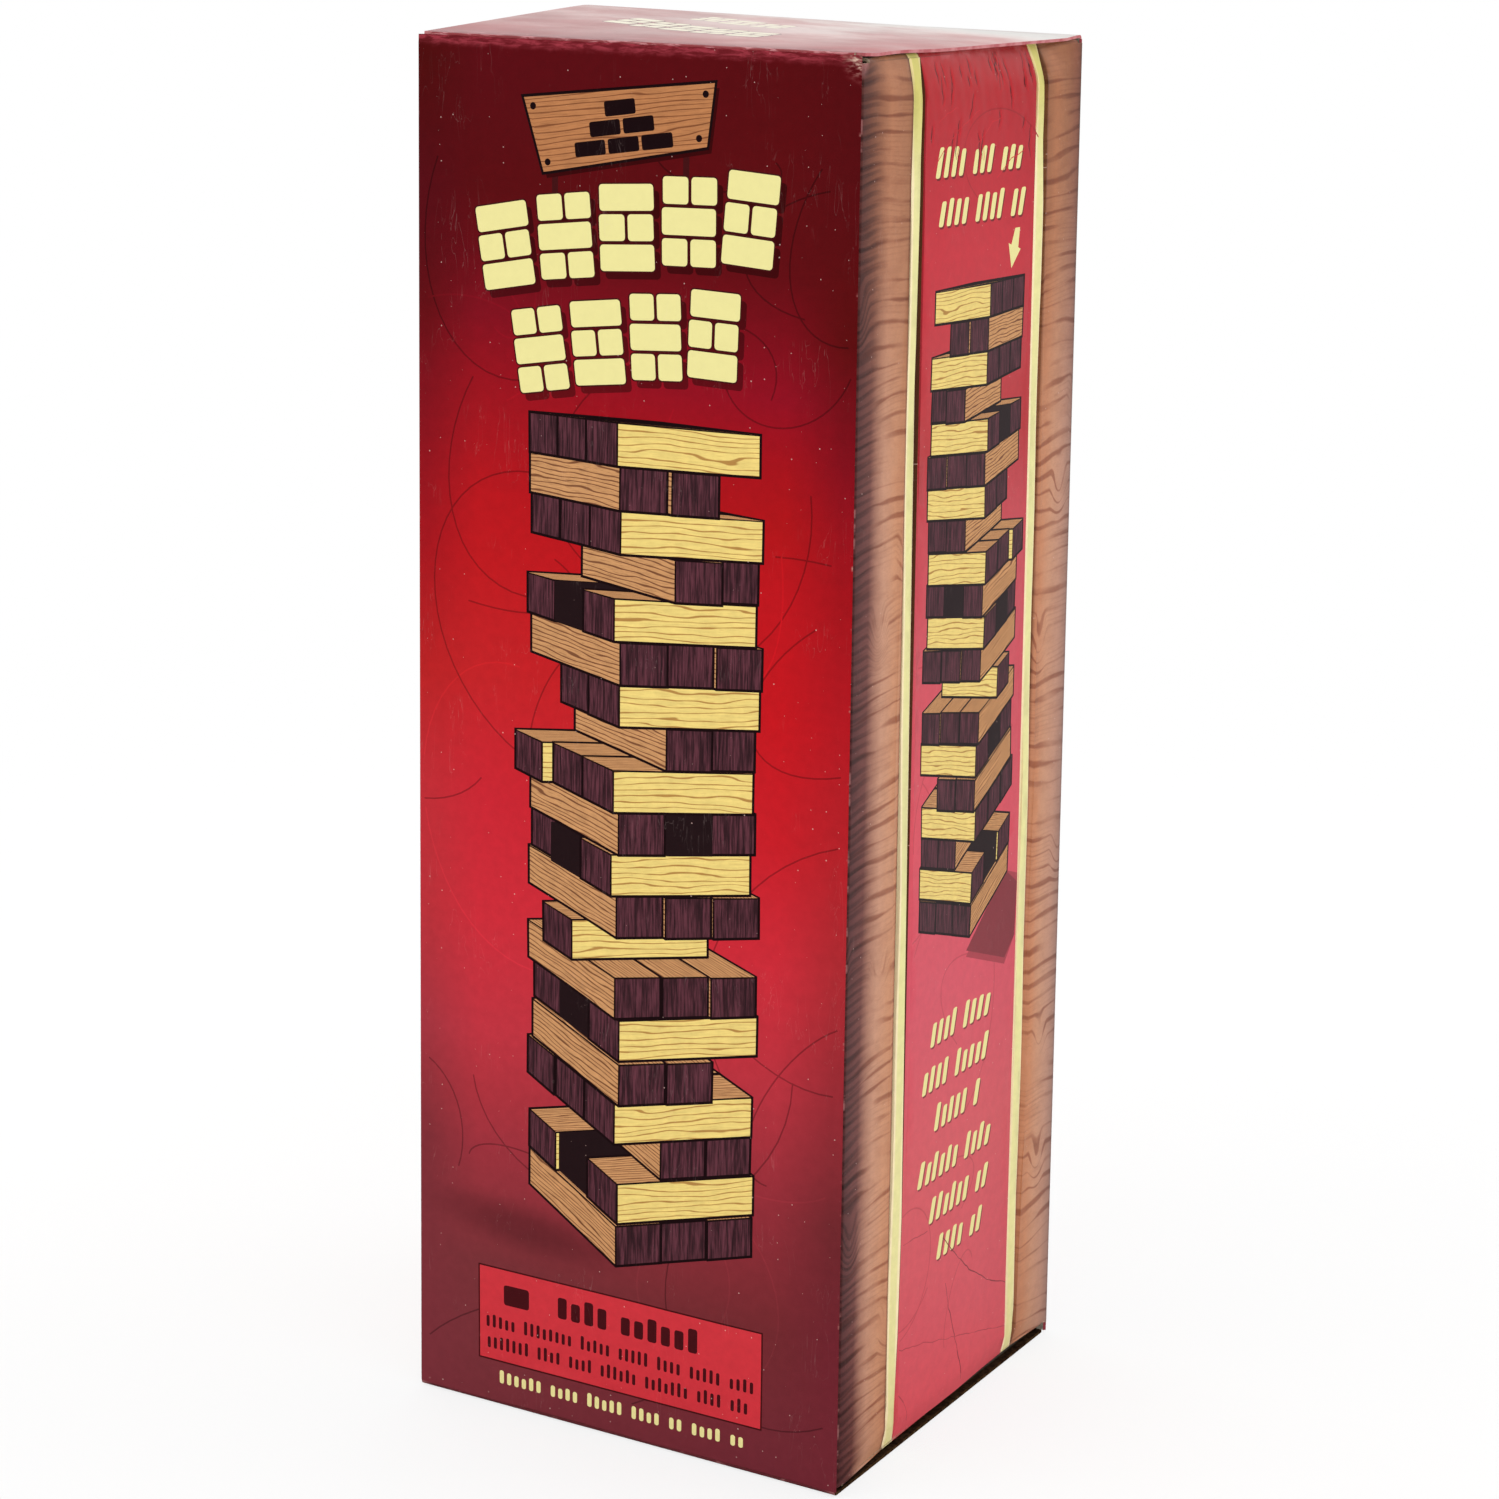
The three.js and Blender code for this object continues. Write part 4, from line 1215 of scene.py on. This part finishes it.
# glue flap, folded from the back panel and bonded inside the left wall
def glue_surf(u, v):
    r = 0.45
    a = np.clip((r * 1.57 - u) / (r * 1.57), 0, 1) * math.pi / 2
    x = np.where(u < r * 1.57, -39.45 + r - r * np.cos(a), -39.45)
    y = np.where(u < r * 1.57, 39.02 + r * np.sin(a) , 39.02 - (u - r * 1.57))
    return np.stack([x, y, v], 1)


glue_outline = densify([(0, 3.2), (0, H - 3.2), (11.6, H - 9.0), (11.6, 9.0)], lambda u, v: 0.12 if u < 0.8 and (v < 3.7 or v > H - 3.7) else 3.5)
glue_flap, _ = sheet("glue_flap", glue_outline, lambda u, v: glue_surf(u, v), None,
                     grid([0.12, 0.25, 0.4, 0.55, 0.72, 4, 8], np.arange(6, H - 5, 4.0)), "board_white", thick=0.42)
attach(glue_flap, "carton")


# ------------------------------------------------------------------ lid and bottom
def turn(p):
    """The bottom closure is the top closure turned half a turn about X."""
    return np.stack([p[:, 0], -p[:, 1], H - p[:, 2]], 1)


def lid_bulge(x, y):
    t = np.clip((x + HX) / W, 0, 1)
    amp = 2.5 * (1 - t) ** 1.2 + 0.25 * t * (1 - t) * 4
    ridge = 11 + 20 * t
    up = np.clip((y + 38.4) / (ridge + 38.4), 0, 1)
    down = np.clip((39.2 - y) / np.maximum(39.2 - ridge, 0.6), 0, 1)
    prof = np.minimum(up, down)
    soft = 0.10
    prof = 0.5 * (up + down - np.sqrt((up - down) ** 2 + soft ** 2)) + soft * 0.25 * 0
    right = -0.34 * sm(t, 0.95, 1.0)
    near = 0.30 * np.exp(-(((y + 27) / 9) ** 2)) * sm(t, 0.75, 1.0)
    return np.clip(amp * np.clip(prof, 0, 1), 0, 9) + (right + near) * sm(y, -38.4, -33) * sm(39.2 - y, 0, 6)


def lid_surf(u, s):
    u, s = np.asarray(u, float), np.asarray(s, float)
    x = HX - u
    a = np.clip(s / ARC, 0, 1) * math.pi / 2
    y = np.where(s < ARC, HX - R + R * np.cos(a), HX - R - (s - ARC))
    z = np.where(s < ARC, H - R + R * np.sin(a), H)
    ext = np.minimum(s, 0)
    z = z + ext + lift_top(x, y, -0.6)
    z = z + np.where(s > ARC, lid_bulge(x, y), 0)
    return np.stack([x, y, z], 1)


def base_surf(u, s):
    p = lid_surf_flat(u, s)
    return turn(p)


def lid_surf_flat(u, s):
    u, s = np.asarray(u, float), np.asarray(s, float)
    x = HX - u
    a = np.clip(s / ARC, 0, 1) * math.pi / 2
    y = np.where(s < ARC, HX - R + R * np.cos(a), HX - R - (s - ARC))
    z = np.where(s < ARC, H - R + R * np.sin(a), H) + np.minimum(s, 0)
    inner = sm(u, 1, 12) * sm(W - u, 1, 12) * sm(s, 2, 12) * sm(LID_S - s, 0, 10)
    z = z - np.where(s > ARC, 0.08 * inner * (1 + waves(WAVE["back"], u, s) * 0.5), 0)
    return np.stack([x, y, z], 1)


LID_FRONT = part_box("lid_tuck_flap")[0].y * 1000 + R    # where the lid's front crease starts
LID_S = ARC + (HX - R) - LID_FRONT


def tuck_surf_raw(u, s):
    x = HX - u
    a = np.clip(s / ARC, 0, 1) * math.pi / 2
    y = np.where(s < ARC, LID_FRONT - R * np.sin(a), LID_FRONT - R + (s - ARC) * math.sin(math.radians(5)))
    z = np.where(s < ARC, H - R + R * np.cos(a), H - R - (s - ARC) * math.cos(math.radians(5)))
    y = y - np.minimum(s, 0)
    return np.stack([x, y, z], 1)


def end_art(kind):
    art = Art()
    if kind == "lid":
        # little toppling stacks, smaller than on the front
        for k, (u, v, a) in enumerate(((59.6, 46.6, -12), (53.0, 49.4, -9), (46.4, 51.6, -6), (39.8, 53.2, -2), (33.2, 54.2, 3))):
            plank_stack(art, u, v, 5.9, 9.0, a, STACKS[k % 2], face="lid_cream", back="lid_dark", line="lid_dark", sx=-0.6)
        for k, (u, v, a) in enumerate(((51.4, 34.4, -8), (45.0, 36.2, -5), (38.6, 37.4, -1))):
            plank_stack(art, u, v, 5.5, 6.6, a, STACKS[(k + 1) % 2], face="lid_cream", back="lid_soft", line="lid_soft", sx=-0.4)
        for p in ([(57.2, 20.0), (60.5, 22.3)], [(57.8, 22.6), (60.0, 19.6)], [(58.0, 21.0), (61.6, 20.6)]):
            art.line(p, 0.28, "lid_dark")
    return art


def end_panel(name, surf, art, base, rim, inner="board_inside"):
    x0, x1 = HX - LID_X, HX + LID_X
    loop = densify([(x0, 0), (x1, 0), (x1, LID_S), (x0, LID_S)], lambda u, s: 0.15 if s < ARC + 0.05 and (u < x0 + 0.01 or u > x1 - 0.01) else 1.4)
    arcs = [ARC * k / 7 for k in range(1, 8)]
    pts = grid(np.arange(x0 + 1.5, x1 - 1, 3.0), arcs)
    pts += grid(np.arange(x0 + 1.2, x1 - 0.5, 1.9), np.arange(ARC + 1.0, LID_S - 0.6, 1.9))
    return sheet(name, loop, surf, art, pts, base, inner=inner, rim=rim, weight=lambda u, s: sm(s, 0.0, ARC), pc=lambda u, s: (u, s),
                 rows=[((x0, a), (x1, a), 1.6) for a in arcs])


def tuck(name, surf, base):
    x0, x1, r, ln = HX - TUCK_X, HX + TUCK_X, 7.0, ARC + 13.3
    pts0 = [(x0, 0), (x1, 0)]
    pts0 += [(x1 - r + r * math.cos(a), ln - r + r * math.sin(a)) for a in np.linspace(0, math.pi / 2, 9)]
    pts0 += [(x0 + r + r * math.cos(a), ln - r + r * math.sin(a)) for a in np.linspace(math.pi / 2, math.pi, 9)]
    loop = densify(pts0, lambda u, s: 0.15 if s < ARC + 0.05 and (u < x0 + 0.01 or u > x1 - 0.01) else 1.6)
    pts = grid(np.arange(x0 + 1.5, x1 - 1, 3.0), [ARC * k / 7 for k in range(1, 8)])
    pts += grid(np.arange(x0 + 2, x1 - 1, 3.4), np.arange(ARC + 1.5, ln, 2.4))
    return sheet(name, loop, surf, None, pts, base, weight=lambda u, s: sm(s, 0.0, ARC), pc=lambda u, s: (u, s + LID_S),
                 rows=[((x0, ARC * k / 7), (x1, ARC * k / 7), 1.6) for k in range(1, 8)])


lid, lw = end_panel("lid", lid_surf, end_art("lid"), "lid_red", "board_edge_lid")
fold(lid, lw, "carton", "lid", (0, HX, H - R), (0, HX - R, H), ["lid_panel"])
def lid_tuck_surf(u, s):
    p = tuck_surf_raw(np.asarray(u, float), np.asarray(s, float))
    p[:, 2] += lift_top(p[:, 0], LID_FRONT + 0 * p[:, 0], -0.6)
    return p


lid_tuck, tw = tuck("lid_tuck", lid_tuck_surf, "lid_red")
fold(lid_tuck, tw, "lid", "lid_tuck", (0, LID_FRONT, H), (0, LID_FRONT - R, H - R), ["lid_tuck_flap"])
base_panel, bw = end_panel("base", base_surf, None, "base_red", "board_edge_shaded", "board_shaded_edges")
fold(base_panel, bw, "carton", "bottom", (0, -HX, R), (0, -HX + R, 0), ["bottom_panel"])
base_tuck, btw = tuck("base_tuck", lambda u, s: turn(tuck_surf_raw(np.asarray(u, float), np.asarray(s, float))), "base_red")
fold(base_tuck, btw, "bottom", "bottom_tuck", (0, -LID_FRONT, 0), (0, -LID_FRONT + R, R), ["bottom_tuck_flap"])


# ------------------------------------------------------------------ dust flaps
BLEED = 6.0


def dust(name, right, top, body, node):
    def surf(u, s):
        u, s = np.asarray(u, float), np.asarray(s, float)
        wu = u if top else W - u                       # the wall's own u at this spot
        if top:
            xe, z0, lift = HX - roll_top(wu, SIDE_V1 + 0 * wu), SIDE_V1 + 0 * wu, 0 * wu
            lean = 0.3 * sm(wu, 0.7, 9) * sm(W - wu, 0.7, 8)
        else:
            lift = lift_low(wu, SIDE_V0 + 0 * wu)
            xe, z0 = HX - roll_low(wu, SIDE_V0 + 0 * wu), SIDE_V1 - lift
            lean = 0.3 * sm(wu, 0.7, 9) * sm(W - wu, 0.7, 8)
        k = np.clip(s / ARC, 0, 1)
        drop = lift * (1 - sm(s, ARC, ARC + 1.6))
        zt = DUST_Z - drop
        px, pz = xe, z0
        cx, cz = xe - 0.7 * lean, zt
        qx, qz = xe - 0.7 - 0.2 * lean, zt
        x = (1 - k) ** 2 * px + 2 * k * (1 - k) * cx + k * k * qx
        z = (1 - k) ** 2 * pz + 2 * k * (1 - k) * cz + k * k * qz
        x = np.where(s > ARC, qx - (s - ARC), x)
        z = np.where(s > ARC, zt, z) + np.minimum(s, 0)
        x = x if right else -x
        y = (u - HX) if right else (HX - u)
        if top:
            z = z + lift_top(x, y, -0.4)
        p = np.stack([x, y, z], 1)
        return p if top else turn(p)

    tip = ARC + (HX - 1.7) - DUST_IN
    # the mitre is on the side of the fold that the end panel hangs from
    def at(y):
        return y + HX if right else HX - y
    root = [at(-37.4), at(38.0)]
    a, b = at(-36.0), at(18.4)
    rr = 4.0
    pts = [(root[0], 0), (root[1], 0), (b, tip), (a, tip)]
    loop = ccw(pts)
    out = []
    for i, p in enumerate(loop):
        q0, q1 = Vector(loop[i - 1]), Vector(loop[(i + 1) % 4])
        c = Vector(p)
        if p[1] < 1:
            out.append(p)
            continue
        d0, d1 = (q0 - c).normalized(), (q1 - c).normalized()
        half = math.acos(max(-1, min(1, d0.dot(d1)))) / 2
        reach = min(rr / math.tan(half), 9.0)
        s0, s1 = c + d0 * reach, c + d1 * reach
        for k in range(9):
            t = k / 8
            out.append(tuple(s0 * (1 - t) ** 2 + c * 2 * t * (1 - t) + s1 * t * t))
    loop = densify(out, lambda u, s: 0.16 if s < ARC and (u < 5 or u > W - 5) and s > 0.001 else (0.9 if s < 0.001 else 1.8))
    art = Art()
    lo, hi = sorted(root)
    bands(art, 0.0, BLEED if top else 0.30, not top)
    art.items = [([(min(max(x, lo + 0.01), hi - 0.01), y) for x, y in it[0]], *it[1:]) for it in art.items]
    if not top:
        # painted shade: past its first 0.3 mm the turned-under flap is dark brown for the gap's shadow
        art.add([(lo, 0.30), (hi, 0.30), (hi, BLEED), (lo, BLEED)], "ink_under")
    white = [(sorted(root)[0] - 0.0, BLEED), (sorted(root)[1] + 0.0, BLEED), (sorted(root)[1], tip + 1), (sorted(root)[0], tip + 1)]
    art.add(white, "board_white")
    body_pts = grid(np.arange(3.6, W - 2, 1.5), [ARC * k / 7 for k in range(1, 8)])
    body_pts += grid(np.arange(3, W - 2, 2.5), list(np.arange(ARC + 0.6, 4.2, 0.6)) + list(np.arange(5.2, tip, 2.6)))
    pcf = (lambda u, s: (u, SIDE_V1 + s)) if top else (lambda u, s: (W - u, SIDE_V0 - s))
    ob, w = sheet(name, loop, surf, art, body_pts, "side_wood",
                  weight=lambda u, s: sm(s, 0.0, ARC), pc=pcf,
                  rows=[((sorted(root)[0] + 0.9, ARC * k / 7), (sorted(root)[1] - 0.9, ARC * k / 7), 1.1) for k in range(1, 8)])
    sx = 1 if right else -1
    if top:
        fold(ob, w, "carton", body, (sx * HX, 0, SIDE_V1), (sx * (HX - 1.7), 0, DUST_Z), [node])
    else:
        fold(ob, w, "carton", body, (sx * HX, 0, SIDE_V0), (sx * (HX - 1.7), 0, H - DUST_Z), [node])
    return ob


dust("top_dust_right", True, True, "top_dust_right", "top_dust_flap_right")
dust("top_dust_left", False, True, "top_dust_left", "top_dust_flap_left")
dust("base_dust_right", True, False, "bottom_dust_right", "bottom_dust_flap_right")
dust("base_dust_left", False, False, "bottom_dust_left", "bottom_dust_flap_left")

# ------------------------------------------------------------------ blocks
for name, ob in sorted(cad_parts.items()):
    if not name.startswith("block_"):
        continue
    layer, k = int(name.split("_")[1]), int(name.split("_")[2])
    lo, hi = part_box(name)
    ax = "x" if (hi.x - lo.x) > (hi.y - lo.y) else "y"
    mat = MATS[f"block_wood_{ax}{(layer * 2 + k * 5) % 3}"]
    ob.data.materials.clear()
    ob.data.materials.append(mat)

# ------------------------------------------------------------------ floor, light, camera
def floor_mesh():
    me = bpy.data.meshes.new("floor")
    n, s = 24, 6.0
    vs = [((i / n - 0.5) * s, (j / n - 0.5) * s, -0.00020) for j in range(n + 1) for i in range(n + 1)]
    fs = [(j * (n + 1) + i, j * (n + 1) + i + 1, (j + 1) * (n + 1) + i + 1, (j + 1) * (n + 1) + i) for j in range(n) for i in range(n)]
    me.from_pydata(vs, [], fs)
    ob = bpy.data.objects.new("floor", me)
    scene.collection.objects.link(ob)
    m = bpy.data.materials.new("floor_white")
    m.use_nodes = True
    m.node_tree.nodes.clear()
    n = N(m.node_tree)
    lp = n.new("ShaderNodeLightPath")
    d = n.new("ShaderNodeBsdfDiffuse")
    px, py, pz = n.xyz(n.new("ShaderNodeNewGeometry").outputs["Position"])
    gl = lp.outputs["Is Glossy Ray"]
    n.put(d.inputs[0], n.mix(gl, (0.94, 0.94, 0.94, 1), n.mix(n.step(py, -0.08, 0.08), (0.05, 0.05, 0.05, 1), (0.36, 0.36, 0.36, 1))))
    t = n.new("ShaderNodeBsdfTransparent")
    mx = n.new("ShaderNodeMixShader")
    # pale ground: solid for bounced light, thinned for the eye and gone by half a metre out
    far = n.step(n.vm("LENGTH", n.comb(px, py, 0.0)), 0.55, 0.12)
    eye = n.m("MULTIPLY", far, 0.22)
    n.put(mx.inputs[0], n.m("SUBTRACT", 1.0, n.m("MULTIPLY", lp.outputs["Is Camera Ray"], n.m("SUBTRACT", 1.0, eye))))
    n.t.links.new(t.outputs[0], mx.inputs[1])
    n.t.links.new(d.outputs[0], mx.inputs[2])
    o = n.new("ShaderNodeOutputMaterial")
    n.t.links.new(mx.outputs[0], o.inputs[0])
    me.materials.append(m)
    return ob


floor_mesh()

world = bpy.data.worlds.new("studio")
scene.world = world
world.use_nodes = True
world.node_tree.nodes.clear()
n = N(world.node_tree)
lp = n.new("ShaderNodeLightPath")
tc = n.new("ShaderNodeTexCoord")
dx, dy, dz = n.xyz(tc.outputs["Generated"])
# the varnish mirrors a white sweep behind the carton and a dim room in front of it
low = n.m("ADD", 0.02, n.m("MULTIPLY", n.step(dy, -0.2, 0.7), 0.34))
high = n.m("MULTIPLY", n.m("MULTIPLY", n.step(dy, 0.1, 0.75), n.step(dz, -0.02, 0.25)), 0.45)
glossy = n.m("ADD", low, high)
a = n.new("ShaderNodeBackground")
a.inputs[0].default_value = (1, 1, 1, 1)
a.inputs[1].default_value = 1.0
b = n.new("ShaderNodeBackground")
b.inputs[0].default_value = (1, 1, 1, 1)
n.put(b.inputs[1], glossy)
mx = n.new("ShaderNodeMixShader")
n.put(mx.inputs[0], lp.outputs["Is Glossy Ray"])
n.t.links.new(a.outputs[0], mx.inputs[1])
n.t.links.new(b.outputs[0], mx.inputs[2])
o = n.new("ShaderNodeOutputWorld")
n.t.links.new(mx.outputs[0], o.inputs[0])


def softbox(name, loc, at, size, power):
    l = bpy.data.lights.new(name, "AREA")
    l.shape = "RECTANGLE"
    l.size, l.size_y = size
    l.energy = power
    ob = bpy.data.objects.new(name, l)
    ob.location = loc
    ob.rotation_mode = "QUATERNION"
    ob.rotation_quaternion = (Vector(at) - Vector(loc)).to_track_quat("-Z", "Y")
    ob.visible_glossy = False
    scene.collection.objects.link(ob)
    return ob


softbox("key", (-0.7, -1.1, 1.1), (0, 0, 0.1), (0.9, 0.9), 3.0)
softbox("rim", (0.9, 0.7, 1.2), (0, 0, 0.12), (0.8, 0.8), 3.0)

cam_data = bpy.data.cameras.new("camera")
cam_data.sensor_width = 36.0
cam_data.lens = 3655.1 / 1499.0 * 36.0
cam = bpy.data.objects.new("camera", cam_data)
scene.collection.objects.link(cam)
fwd, right = Vector((-0.54240, 0.82301, -0.16868)).normalized(), Vector((0.83500, 0.55025, -0.00023))
right = (right - fwd * right.dot(fwd)).normalized()
up = right.cross(fwd)
cam.matrix_world = Matrix(((right.x, up.x, -fwd.x, 0.29051), (right.y, up.y, -fwd.y, -0.52826), (right.z, up.z, -fwd.z, 0.25846), (0, 0, 0, 1)))
cam_data.clip_start, cam_data.clip_end = 0.02, 50
# The photo is cropped off centre, so its viewpoint has a lens shift. Moved anywhere else, the camera looks straight ahead.
for prop, amount in (("shift_x", 287.2 / 1499.0), ("shift_y", -275.1 / 1499.0)):
    setattr(cam_data, prop, amount)
    curve = cam_data.driver_add(prop)
    curve.driver.type = "AVERAGE"
    place = curve.driver.variables.new()
    place.type = "TRANSFORMS"
    place.targets[0].id = cam
    place.targets[0].transform_type = "LOC_X"
    place.targets[0].transform_space = "WORLD_SPACE"
    for mod in list(curve.modifiers):
        curve.modifiers.remove(mod)
    while len(curve.keyframe_points):
        curve.keyframe_points.remove(curve.keyframe_points[0])
    curve.keyframe_points.add(4)
    for key, (x, y) in zip(curve.keyframe_points, ((-10.0, 0.0), (0.27, amount), (0.31, 0.0), (10.0, 0.0))):
        key.co = (x, y)
        key.interpolation = "CONSTANT"
    curve.update()
scene.camera = cam
